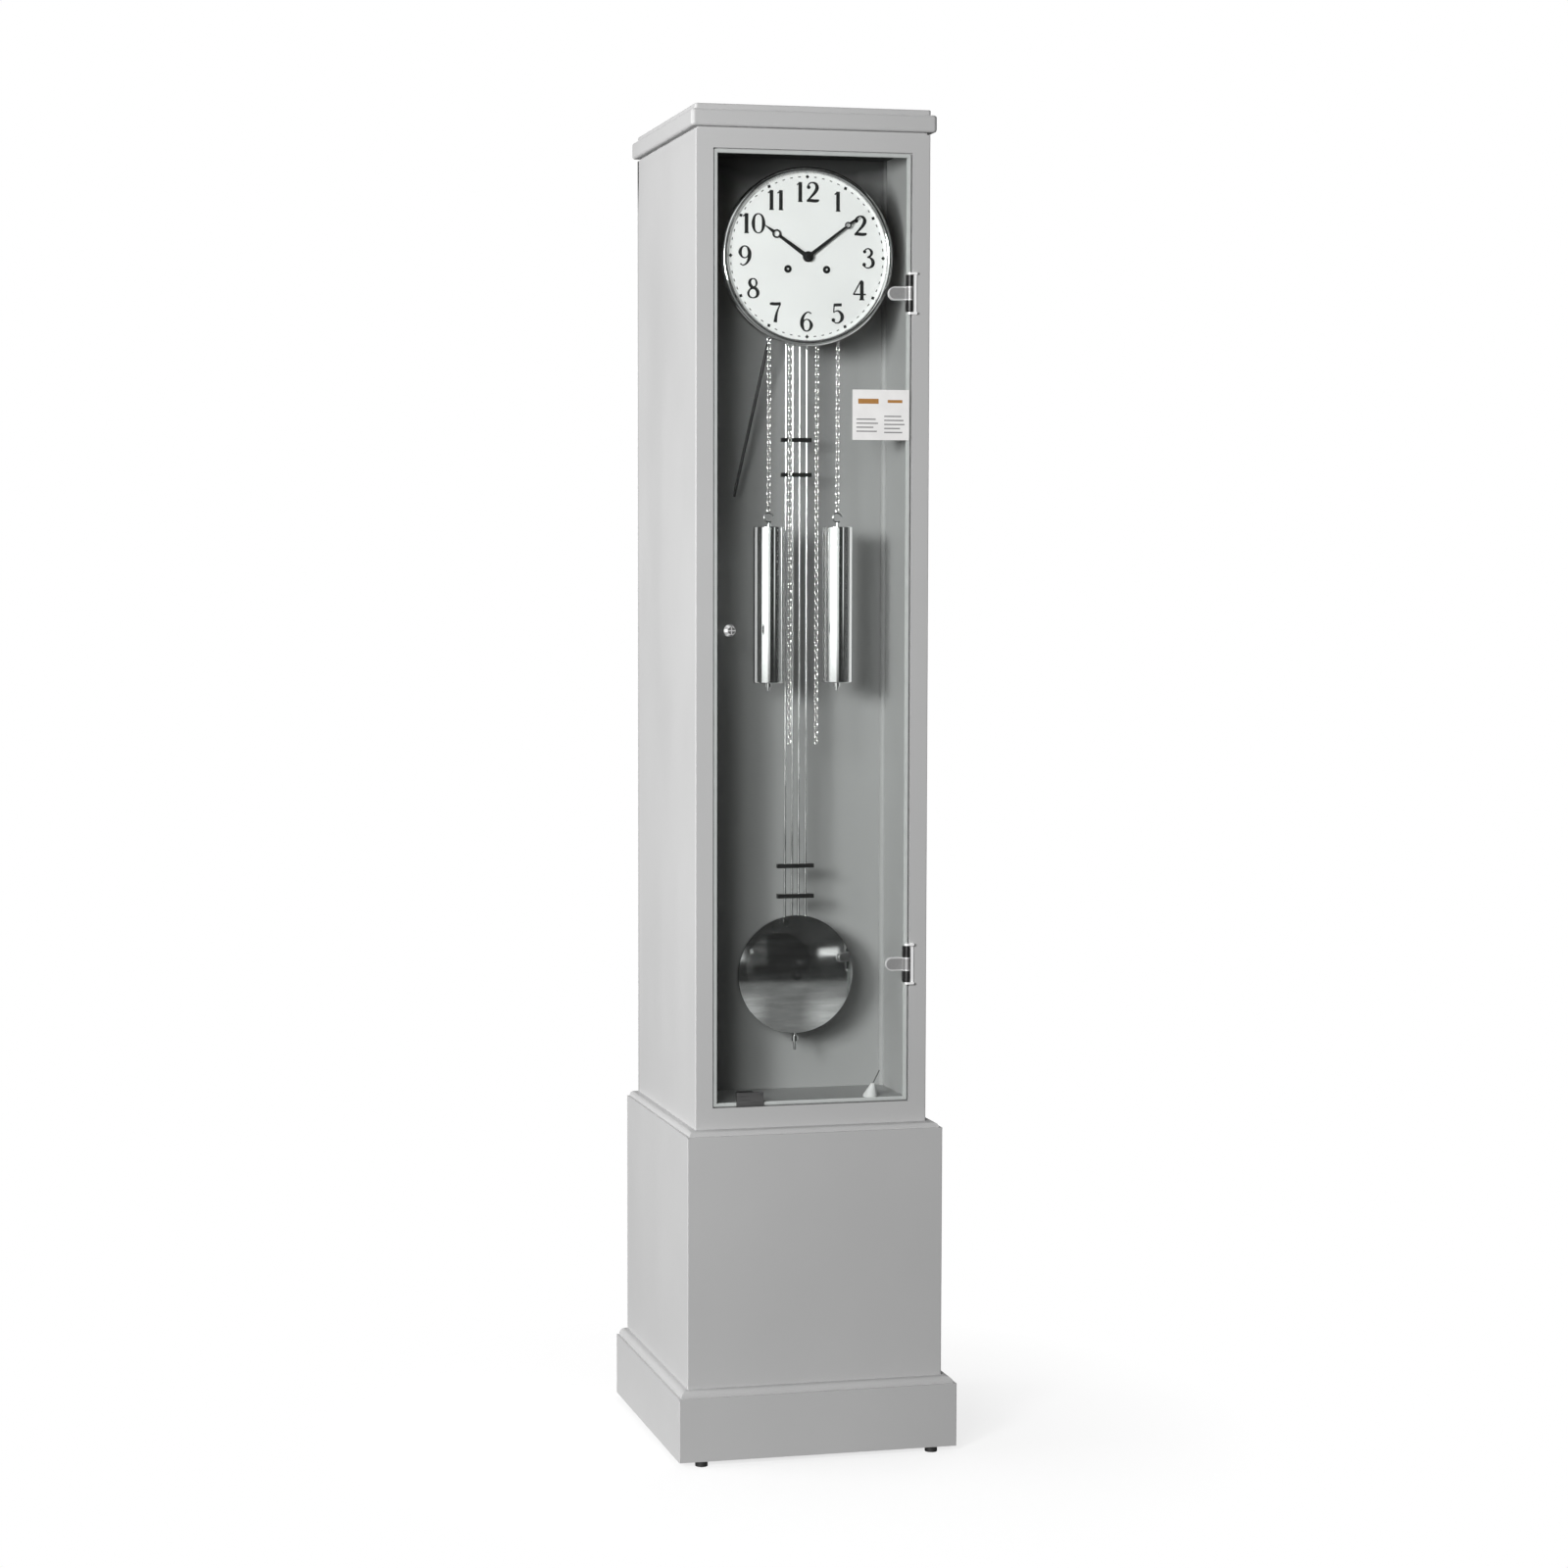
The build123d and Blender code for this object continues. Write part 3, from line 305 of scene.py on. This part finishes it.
def cut_crystal():
    """A knob cut all round, with painted light and shade: each facet is coloured lighter or darker than the
    next, and a dark cross is painted in its face as the shade of a crossed slot.
    """
    s = Shader("cut_crystal", Roughness=0.08, Coat_Weight=0.5)
    low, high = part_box("door_knob")
    x, z = (s.off_centre(name, low, high) for name in "XZ")
    around = s.maths("DIVIDE", s.maths("ARCTAN2", z, x), 2 * pi / KNOB_FACETS)
    facet = s.maths("MODULO", s.maths("FLOOR", s.maths("ADD", around, 0.5 + KNOB_FACETS)), 2.0)
    face = s.maths("LESS_THAN", s.distance(x, z), KNOB_FACE_RADIUS)
    # painted light and shade: alternate facets are coloured light and dark
    cut = s.colours(s.maths("ABSOLUTE", facet), grey(0.80), grey(0.42))
    nearest = s.maths("MINIMUM", s.maths("ABSOLUTE", x), s.maths("ABSOLUTE", z))
    # painted shade: a dark cross in the face, standing for a crossed slot
    cross = s.maths("LESS_THAN", nearest, KNOB_SLOT_HALF)
    s.set("Base Color", s.colours(face, cut, s.colours(cross, grey(0.12), grey(0.62))))
    s.set("Metallic", 0.25)
    s.bump(s.noise(400, 2), 0.02 * MM, 0.4)
    return s.material


def satin_nickel():
    s = Shader("satin_nickel", Metallic=0.1, Roughness=0.4)
    scratch = s.noise(900, 4, (1, 1, 0.03))
    s.set("Base Color", s.colours(scratch, grey(0.78), grey(0.92)))
    s.bump(scratch, 0.02 * MM, 0.5)
    return s.material


def screw_black():
    """Blackened eyelets, each with a bright pin end in its middle."""
    s = Shader("black_eyelet")
    low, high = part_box("dial_screws")
    reach = (high.x - low.x) / 2 - EYELET_RADIUS
    x = s.maths("SUBTRACT", s.maths("ABSOLUTE", s.axis("X")), reach)
    pin = s.maths("LESS_THAN", s.distance(x, s.off_centre("Z", low, high)), EYELET_PIN_RADIUS)
    s.set("Base Color", s.colours(pin, s.colours(s.noise(700, 4), grey(0.004), grey(0.009)), grey(0.75)))
    s.set("Roughness", s.spread(s.noise(200, 3), 0.5, 0.65))
    s.set("Specular IOR Level", 0.25)
    return s.material


def smoked_chrome():
    """The bob: old plating with a soft, streaked reflection."""
    s = Shader("smoked_chrome", Metallic=1.0)
    streak = s.noise(16, 6, (1, 1, 6), 0.6)
    s.set("Base Color", s.colours(s.ramp(streak, 0.35, 0.7), grey(0.66), grey(0.88)))
    s.set("Roughness", s.ramp(s.noise(34, 6, (1, 1, 5), 0.65), 0.35, 0.75, 0.05, 0.11))
    s.bump(s.noise(9, 4), 0.4 * MM, 0.35)
    return s.material


def dial_enamel():
    s = Shader("dial_white", Coat_Weight=0.15, Coat_Roughness=0.3)
    cloud = s.spread(s.noise(14, 5))
    s.set("Base Color", s.colours(cloud, grey(0.88, 0.004), grey(0.93, 0.004)))
    s.set("Roughness", s.spread(s.noise(45, 4), 0.42, 0.55))
    s.bump(s.noise(900, 2), 0.02 * MM, 0.4)
    return s.material


def brass():
    s = Shader("brass", Metallic=1.0)
    tarnish = s.ramp(s.noise(26, 6, rough=0.6), 0.35, 0.7)
    s.set("Base Color", s.colours(tarnish, (0.76, 0.56, 0.24, 1), (0.62, 0.42, 0.17, 1)))
    s.set("Roughness", s.spread(s.noise(300, 4, (1, 1, 0.1)), 0.16, 0.32))
    return s.material


def paper():
    s = Shader("card")
    fibre = s.noise(1500, 4)
    cloud = s.spread(s.noise(40, 3))
    s.set("Base Color", s.colours(cloud, grey(0.70, 0.01), grey(0.76, 0.01)))
    s.set("Roughness", s.spread(fibre, 0.6, 0.8))
    s.bump(fibre, 0.03 * MM, 0.5)
    return s.material


def ink(name, tint, rough):
    s = Shader(name)
    worn = (*(channel * 0.7 for channel in tint[:3]), 1)
    s.set("Base Color", s.colours(s.noise(600, 3), worn, tint))
    s.set("Roughness", s.spread(s.noise(200, 3), rough * 0.8, rough * 1.2))
    return s.material


materials = {
    "lacquer": lacquer("lacquer", 0.42, 0.40, 0.52, 0.06).material,
    "inner_lacquer": inner_lacquer(),
    "door_glass": glass(),
    "chrome": polished("chrome", 0.86, 0.03, 0.10),
    "nickel_chain": polished("nickel_chain", 0.80, 0.12, 0.25, 0.01),
    "steel": brushed("steel", 0.80, 0.42, "Z"),
    "clip_steel": brushed("clip_steel", 0.16, 0.5, "X"),
    "hinge_black": hinge_metal(),
    "black": painted("black", 0.012, 0.35, 700, 0.02 * MM, 0.1),
    "gong_steel": painted("gong_steel", 0.018, 0.5, 500, 0.03 * MM),
    "gong_iron": painted("gong_iron", 0.035, 0.6, 260, 0.3 * MM),
    "dial_white": dial_enamel(),
    "brass": brass(),
    "black_plastic": painted("black_plastic", 0.015, 0.5, 900, 0.04 * MM),
    "card": paper(),
}
own_look = {
    "dial_screws": screw_black(),
    "door_knob": cut_crystal(),
    "hinge_plates": satin_nickel(),
    "pendulum_bob": smoked_chrome(),
    "pendulum_rods": polished("rod_chrome", 0.68, 0.14, 0.28),
}
slot_of = {part["node"]: part["material_slot"] for part in frame["record"]["subparts"]}
for node, thing in frame["nodes"].items():
    if not thing.material_slots:
        thing.data.materials.append(None)
    for held in thing.material_slots:
        held.material = own_look.get(node) or materials[slot_of[node]]


# ---------------------------------------------------------------- shared shapes
def piece(name, vertices, faces, look, smooth=False):
    """A mesh object with one material."""
    mesh = bpy.data.meshes.new(name)
    mesh.from_pydata(vertices, [], faces)
    mesh.materials.append(look)
    mesh.polygons.foreach_set("use_smooth", [smooth] * len(mesh.polygons))
    mesh.update()
    made = bpy.data.objects.new(name, mesh)
    scene.collection.objects.link(made)
    return made


def spline(points, closed, steps=7):
    """Points on a smooth curve through the given ones, which carry a width as their third number."""
    count = len(points)
    found = []
    for i in range(count if closed else count - 1):
        places = (i - 1, i, i + 1, i + 2)
        around = [points[k % count] if closed else points[min(max(k, 0), count - 1)] for k in places]
        for step in range(steps):
            t = step / steps
            found.append(tuple(0.5 * (2 * b + (c - a) * t + (2 * a - 5 * b + 4 * c - d) * t * t
                                      + (3 * b - a - 3 * c + d) * t ** 3) for a, b, c, d in zip(*around)))
    if not closed:
        found.append(tuple(points[-1]))
    return found


def around_centre(corners):
    """The corners in order, anticlockwise, so that no outline crosses itself."""
    x, y = (sum(c[k] for c in corners) / len(corners) for k in (0, 1))
    return sorted(corners, key=lambda c: atan2(c[1] - y, c[0] - x))


def ribbon(points, closed=False, curved=True):
    """Four-sided pieces of a stroke whose width changes along it."""
    line = spline(points, closed) if curved else list(points)
    sides = []
    for i, (x, y, width) in enumerate(line):
        a = line[i - 1] if closed or i else line[0]
        b = line[(i + 1) % len(line)] if closed else line[min(i + 1, len(line) - 1)]
        turn = atan2(b[1] - a[1], b[0] - a[0])
        dx, dy = -sin(turn) * width / 2, cos(turn) * width / 2
        sides.append(((x + dx, y + dy), (x - dx, y - dy)))
    last = len(sides) if closed else len(sides) - 1
    return [around_centre([*sides[i], *sides[(i + 1) % len(sides)]]) for i in range(last)]


def spot(x, y, radius, corners=16, turn=0.0):
    """A round or many-sided outline."""
    angles = [2 * pi * k / corners + turn for k in range(corners)]
    return [(x + radius * cos(angle), y + radius * sin(angle)) for angle in angles]


def put_in_order(parts, place):
    """The corners or faces of a shape in the order of where they are, which is the same in every run."""
    for rank, part in enumerate(sorted(parts, key=place)):
        part.index = rank
    parts.sort()


def printed(name, outlines, front, thickness, look):
    """Outlines in X and Z, in mm, joined where they overlap, as one thin raised piece facing -Y."""
    corners, faces = [], []
    for outline in outlines:
        faces.append(list(range(len(corners), len(corners) + len(outline))))
        corners += [Vector(p) for p in outline]
    flat, _, triangles, _, _, within = delaunay_2d_cdt(corners, [], faces, 0, 1e-4)
    triangles = [t for t, held in zip(triangles, within) if held]
    made = piece(name, [(p.x * MM, front, p.y * MM) for p in flat], [list(t) for t in triangles], look)
    shape = bmesh.new()
    shape.from_mesh(made.data)
    bmesh.ops.dissolve_limit(shape, angle_limit=radians(0.5), verts=shape.verts, edges=shape.edges)
    bmesh.ops.recalc_face_normals(shape, faces=shape.faces)
    raised = bmesh.ops.extrude_face_region(shape, geom=shape.faces[:])["geom"]
    lifted = [part for part in raised if isinstance(part, bmesh.types.BMVert)]
    bmesh.ops.translate(shape, vec=(0, -thickness, 0), verts=lifted)
    bmesh.ops.recalc_face_normals(shape, faces=shape.faces)
    put_in_order(shape.verts, lambda corner: corner.co[:])
    put_in_order(shape.faces, lambda face: face.calc_center_median()[:])
    shape.to_mesh(made.data)
    shape.free()
    return made


def turned(name, rings, look, around=24):
    """A closed surface through rings of (centre, radius) that lie flat."""
    vertices = [at + Vector((*corner, 0)) for at, radius in rings for corner in spot(0, 0, radius, around)]
    last = (len(rings) - 1) * around
    faces = []
    for ring in range(0, last, around):
        for k in range(around):
            after = (k + 1) % around
            faces.append((ring + k, ring + after, ring + around + after, ring + around + k))
    faces += [tuple(reversed(range(around))), tuple(range(last, last + around))]
    return piece(name, vertices, faces, look)


# ---------------------------------------------------------------- dial print
# each stroke is a run of (x, y, width) on a figure 100 high; a spot's third number is its radius
FIGURES = {
    "0": [("loop", (24, 50, 16), (17, 86, 9), (0, 98, 4), (-17, 86, 9),
           (-24, 50, 16), (-17, 14, 9), (0, 2, 4), (17, 14, 9))],
    "1": [("line", (1, 0, 17), (1, 99, 17)),
          ("line", (2, 97, 7), (-15, 84, 4)),
          ("line", (-9, 2, 4), (12, 2, 4))],
    "2": [("curve", (-22, 74, 7), (-17, 90, 5), (-2, 98, 5), (15, 91, 12),
           (21, 72, 17), (12, 50, 14), (-6, 27, 9), (-25, 5, 6)),
          ("spot", (-18, 74, 7.5)),
          ("curve", (-27, 5, 8), (-12, 8, 14), (8, 6, 14), (24, 8, 12), (30, 13, 4))],
    "3": [("curve", (-19, 84, 6), (-9, 96, 4), (5, 96, 6), (16, 80, 13), (10, 62, 9), (-5, 54, 4)),
          ("curve", (-5, 54, 4), (10, 51, 7), (22, 34, 16), (20, 14, 14),
           (6, 2, 6), (-10, 2, 4), (-22, 14, 6)),
          ("spot", (-17, 82, 6.5)),
          ("spot", (-19, 17, 7.5))],
    "4": [("line", (9, 0, 17), (9, 92, 17), (5, 100, 5)),
          ("line", (4, 97, 5), (-30, 29, 5)),
          ("line", (-32, 29, 6), (28, 29, 6)),
          ("line", (-3, 2, 4), (21, 2, 4))],
    "5": [("line", (-16, 92, 13), (20, 94, 13)),
          ("line", (-15, 97, 5), (-18, 54, 4)),
          ("curve", (-18, 54, 3), (-6, 62, 4), (8, 60, 9), (21, 42, 16),
           (21, 22, 16), (9, 5, 7), (-7, 2, 4), (-22, 13, 6)),
          ("spot", (-19, 16, 7.5))],
    "6": [("curve", (21, 90, 6), (8, 98, 4), (-8, 88, 8), (-20, 64, 15), (-22, 34, 17), (-15, 12, 10)),
          ("loop", (22, 32, 16), (14, 54, 8), (0, 61, 4), (-14, 52, 6),
           (-20, 32, 12), (-14, 10, 8), (0, 2, 4), (14, 10, 9))],
    "7": [("curve", (-26, 88, 6), (-20, 93, 13), (0, 92, 14), (23, 95, 12)),
          ("curve", (22, 93, 5), (12, 70, 6), (3, 40, 11), (-2, 0, 17))],
    "8": [("loop", (16, 76, 9), (11, 93, 6), (0, 98, 4), (-12, 92, 9),
           (-16, 76, 14), (-9, 60, 14), (2, 52, 12), (12, 62, 6)),
          ("loop", (22, 26, 16), (16, 44, 14), (2, 53, 12), (-14, 44, 7),
           (-22, 26, 10), (-16, 8, 7), (0, 2, 4), (16, 9, 10))],
}
FIGURES["9"] = [(kind, *[(-x, 100 - y, w) for x, y, w in points]) for kind, *points in FIGURES["6"]]
FIGURE_HEIGHT, FIGURE_WEIGHT, FIGURE_WIDEN, FIGURE_RING, FIGURE_SHIFT = 28.0, 2.2, 1.13, 91.0, -0.6
PAIR_SPREAD = {"10": 8.9, "11": 6.9, "12": 9.2}
PAIR_SHIFT = {"10": -1.2, "11": 0.0, "12": -1.0}
TRACK_RADIUS, DASH_HALF, DASH_WIDTH, HOUR_MARK_RADIUS = 112.4, 1.9, 1.3, 2.9
PRINT_GAP, DIAL_PRINT_THICKNESS, CARD_PRINT_THICKNESS = 0.02 * MM, 0.1 * MM, 0.06 * MM


def figure(digit, x, z):
    """The outlines of one digit, with its middle at x, z in mm."""
    scale = FIGURE_HEIGHT / 100
    found = []
    for kind, *points in FIGURES[digit]:
        placed = [(x + a * scale * FIGURE_WIDEN, z + (b - 50) * scale, (w + FIGURE_WEIGHT) * scale)
                  for a, b, w in points]
        if kind == "spot":
            found += [spot(a, b, w) for a, b, w in placed]
        else:
            found += ribbon(placed, kind == "loop", kind != "line")
    return found


dial_low, dial_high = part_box("dial_plate")
dial_z = (dial_low.z + dial_high.z) / 2 / MM
outlines = []
for hour in range(1, 13):
    turn = radians(30 * hour)
    x, z = FIGURE_RING * sin(turn), dial_z + FIGURE_RING * cos(turn)
    digits = str(hour)
    spread = PAIR_SPREAD.get(digits, 0)
    for digit, offset in zip(digits, (-spread, spread) if len(digits) == 2 else (0,)):
        outlines += figure(digit, x + offset + PAIR_SHIFT.get(digits, 0) + FIGURE_SHIFT, z)
for minute in range(60):
    turn = radians(6 * minute)
    x, z = TRACK_RADIUS * sin(turn), dial_z + TRACK_RADIUS * cos(turn)
    if minute % 5:
        dx, dz = DASH_HALF * cos(turn), -DASH_HALF * sin(turn)
        outlines += ribbon([(x - dx, z - dz, DASH_WIDTH), (x + dx, z + dz, DASH_WIDTH)], curved=False)
    else:
        outlines.append(spot(x, z, HOUR_MARK_RADIUS, 4, turn))
dial_print = printed("dial_print", outlines, dial_low.y - PRINT_GAP, DIAL_PRINT_THICKNESS,
                     ink("dial_ink", grey(0.012), 0.4))
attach(dial_print, "case")

# ---------------------------------------------------------------- card
card_low, card_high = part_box("label_card")


def bar(x0, x1, z0, z1):
    """A bar of the card, from shares of its width and height."""
    w, h = (card_high.x - card_low.x) / MM, (card_high.z - card_low.z) / MM
    left, foot = card_low.x / MM, card_low.z / MM
    return [(left + a * w, foot + b * h) for a, b in ((x0, z0), (x1, z0), (x1, z1), (x0, z1))]


LINE_HEIGHT = 0.025
COLUMNS = (
    (0.07, ((0.40, 0.34), (0.32, 0.38), (0.24, 0.30), (0.16, 0.36))),
    (0.56, ((0.46, 0.30), (0.38, 0.34), (0.30, 0.36), (0.22, 0.28), (0.14, 0.32))),
)
lines = [bar(left, left + reach, z, z + LINE_HEIGHT) for left, rows in COLUMNS for z, reach in rows]
heads = [bar(0.10, 0.46, 0.72, 0.82), bar(0.62, 0.88, 0.74, 0.80)]
for name, outlines, look in (("card_lines", lines, ink("card_grey", grey(0.25), 0.6)),
                             ("card_heads", heads, ink("card_ochre", (0.42, 0.20, 0.05, 1), 0.6))):
    made = printed(name, outlines, card_low.y - PRINT_GAP, CARD_PRINT_THICKNESS, look)
    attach(made, "door")

# ---------------------------------------------------------------- cone on the compartment floor
floor_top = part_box("compartment_floor")[1].z
CONE_FOOT = Vector((0.104, -0.102, floor_top))
CONE_SHOULDER = Vector((0.108, -0.102, floor_top + 18 * MM))
CONE_RADII, CONE_LIP, CONE_CAP = (10.5 * MM, 3.5 * MM, 2.8 * MM), 2 * MM, 1 * MM
STEM_TOP, STEM_RADIUS = Vector((0.131, -0.062, floor_top + 31 * MM)), 0.9 * MM
cone = turned("pull_cone", [(CONE_FOOT, CONE_RADII[0]), (CONE_FOOT + CONE_LIP * UP, CONE_RADII[0]),
                            (CONE_SHOULDER, CONE_RADII[1]), (CONE_SHOULDER + CONE_CAP * UP, CONE_RADII[2])],
              ink("pull_white", grey(0.78), 0.5))
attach(cone, "case")
stem = turned("pull_stem", [(CONE_SHOULDER, STEM_RADIUS), (STEM_TOP, STEM_RADIUS)],
              ink("pull_grey", grey(0.10), 0.5), 10)
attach(stem, "case")

# ---------------------------------------------------------------- chains
LINK_PITCH, LINK_WIRE, LINK_RADIUS, LINK_STRAIGHT = 6.0 * MM, 0.75 * MM, 2.4 * MM, 1.4 * MM


def link_shape(around=12, section=6):
    """One open oval link about the origin: long in Z, flat in X and Z."""
    middles = []
    for k in range(around):
        turn = 2 * pi * (k + 0.5) / around
        lift = LINK_STRAIGHT if sin(turn) > 0 else -LINK_STRAIGHT
        middles.append((Vector((LINK_RADIUS * cos(turn), 0, LINK_RADIUS * sin(turn) + lift)),
                        Vector((cos(turn), 0, sin(turn)))))
    angles = [2 * pi * j / section for j in range(section)]
    vertices = [middle + LINK_WIRE * (cos(angle) * out + sin(angle) * BACKWARD)
                for middle, out in middles for angle in angles]
    faces = [(k * section + j, k * section + (j + 1) % section,
              (k + 1) % around * section + (j + 1) % section, (k + 1) % around * section + j)
             for k in range(around) for j in range(section)]
    return vertices, faces


def chain(name, path, length):
    """Links along a path that gives a point and a direction for each distance."""
    link, sides = link_shape()
    vertices, faces = [], []
    count = round(length / LINK_PITCH)
    for n in range(count):
        at, along = path((n + 0.5) * length / count)
        across = BACKWARD.cross(along).normalized()
        spin = radians(45 if n % 2 else -45)
        flat = across * cos(spin) + BACKWARD * sin(spin)
        attitude = Matrix((flat, along.cross(flat), along)).transposed()
        base = len(vertices)
        vertices += [at + attitude @ corner for corner in link]
        faces += [tuple(base + index for index in face) for face in sides]
    return piece(name, vertices, faces, materials["nickel_chain"], True)


for side, name in ((-1, "left"), (1, "right")):
    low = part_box(f"chain_weight_{name}")[0]
    free_low, free_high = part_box(f"chain_free_{name}")
    free_x, chain_y = (free_low.x + free_high.x) / 2, (free_low.y + free_high.y) / 2
    wheel_low, wheel_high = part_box(f"sprocket_{name}")
    wheel = Vector(((wheel_low.x + wheel_high.x) / 2, chain_y, (wheel_low.z + wheel_high.z) / 2))
    wrap = abs(free_x - wheel.x)
    weight_x = 2 * wheel.x - free_x
    rise = wheel.z - low.z

    def weight_side(distance):
        """Up from the weight, then half round the sprocket."""
        if distance < rise:
            return Vector((weight_x, chain_y, low.z + distance)), UP
        turn = (distance - rise) / wrap
        out = Vector((side * cos(turn), 0, sin(turn)))
        return wheel + wrap * out, Vector((-side * sin(turn), 0, cos(turn)))

    def free_side(distance):
        return Vector((free_x, chain_y, free_low.z + distance)), UP

    links = chain(f"chain_weight_links_{name}", weight_side, rise + pi * wrap)
    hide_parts(f"chain_weight_{name}")
    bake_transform(links)
    links = chain(f"chain_free_links_{name}", free_side, wheel.z - free_low.z)
    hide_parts(f"chain_free_{name}")
    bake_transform(links)

# ---------------------------------------------------------------- floor, surroundings, light
FLOOR_SIZE, FADE_START, FADE_END = 16, 0.20, 0.70
bpy.ops.mesh.primitive_grid_add(x_subdivisions=8, y_subdivisions=8, size=FLOOR_SIZE)
floor = bpy.context.object
floor.name = "floor"
floor_look = Shader("floor", Base_Color=grey(0.95), Roughness=0.9)
away = floor_look.node("ShaderNodeVectorMath", {"operation": "LENGTH"})
floor_look.put(floor_look.place, away.inputs[0])
# the floor takes a soft shadow near the clock and gives way to the white surroundings further off
fade = floor_look.ramp(away.outputs["Value"], FADE_START, FADE_END, 0.75, 1.0)
gone = floor_look.node("ShaderNodeBsdfTransparent").outputs[0]
floor_look.surface(floor_look.either(fade, floor_look.main.outputs[0], gone))
floor.data.materials.append(floor_look.material)
floor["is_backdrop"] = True

# white to the eye and dim as a light; what is polished mirrors a pale floor, a dark room and the patches
scene.world = bpy.data.worlds.new("studio")
scene.world.use_nodes = True
studio = Graph(scene.world.node_tree)
studio.tree.nodes.clear()
split = studio.node("ShaderNodeSeparateXYZ", Vector=studio.node("ShaderNodeTexCoord").outputs["Generated"])
x, y, z = split.outputs
bearing = studio.maths("ARCTAN2", studio.maths("MULTIPLY", x, -1.0), studio.maths("MULTIPLY", y, -1.0))
lift = studio.maths("ARCSINE", z)
# bright patches: bands of (low, high, softness) in degrees, then a strength. A bearing is 0 in front
# of the clock and grows towards its left; a height is 0 at the horizon
PATCHES = (
    (((-34, -28, 9), (2, 20, 8)), (-24, -19, 6), 0.35),
    (((6, 78, 2),), (-1, 32, 1), 1.1),
    (((22, 78, 4),), (-7, 0, 5), 0.9),
    (((-33, -26, 1.5),), (-0.2, 1.6, 1), 1.2),
)
mirrored = studio.ramp(lift, radians(-11), radians(-9), 0.23, 0.030)
for sectors, heights, strength in PATCHES:
    across = [studio.band(bearing, *map(radians, sector)) for sector in sectors]
    across = across[0] if len(across) == 1 else studio.maths("ADD", *across)
    patch = studio.maths("MULTIPLY", across, studio.band(lift, *map(radians, heights)))
    mirrored = studio.maths("ADD", mirrored, studio.maths("MULTIPLY", patch, strength))
rays = studio.node("ShaderNodeLightPath").outputs
white = studio.node("ShaderNodeBackground", Color=(1, 1, 1, 1), Strength=1.0).outputs[0]
dim = studio.node("ShaderNodeBackground", Color=(1, 1, 1, 1), Strength=0.03).outputs[0]
bright = studio.node("ShaderNodeBackground", Color=(1, 1, 1, 1), Strength=mirrored).outputs[0]
shown = studio.either(rays["Is Camera Ray"], studio.either(rays["Is Glossy Ray"], dim, bright), white)
studio.put(shown, studio.node("ShaderNodeOutputWorld").inputs[0])


def softbox(name, place, target, tall, wide, power):
    """A rectangular lamp that faces the target and that the camera does not see."""
    lamp = bpy.data.objects.new(name, bpy.data.lights.new(name, "AREA"))
    scene.collection.objects.link(lamp)
    lamp.data.shape = "RECTANGLE"
    lamp.data.size, lamp.data.size_y, lamp.data.energy = tall, wide, power
    lamp.location = place
    lamp.rotation_euler = (Vector(target) - Vector(place)).to_track_quat("-Z", "Z").to_euler()
    lamp.visible_camera = False
    return lamp


softbox("key", (-2.44, -2.81, 1.75), (0, -0.1, 1.1), 0.7, 0.85, 130)
softbox("key_wing", (-1.75, -3.28, 1.75), (0, -0.1, 1.1), 0.7, 0.9, 51)
softbox("side", (-4.2, 0.9, 1.5), (0, 0, 1.1), 2.4, 2.2, 175)
softbox("overhead", (0, 1.2, 4.6), (0, 0.2, 0), 3, 2, 60)
softbox("far", (3.6, 3.2, 2.2), (0, 0, 1.0), 2.5, 2.5, 40)
# two strips on the inner walls that only polished things mirror, for the bright edges of the weights
STRIP_X, STRIP_Z, STRIP_TALL, STRIP_WIDE, STRIP_POWER = 0.152, 1.24, 0.72, 0.075, 0.10
for name, x, y in (("left_card", -STRIP_X, -0.045), ("right_card", STRIP_X, -0.088)):
    strip = softbox(name, (x, y, STRIP_Z), (0, y, STRIP_Z), STRIP_TALL, STRIP_WIDE, STRIP_POWER)
    strip.visible_diffuse = False

low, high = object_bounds()
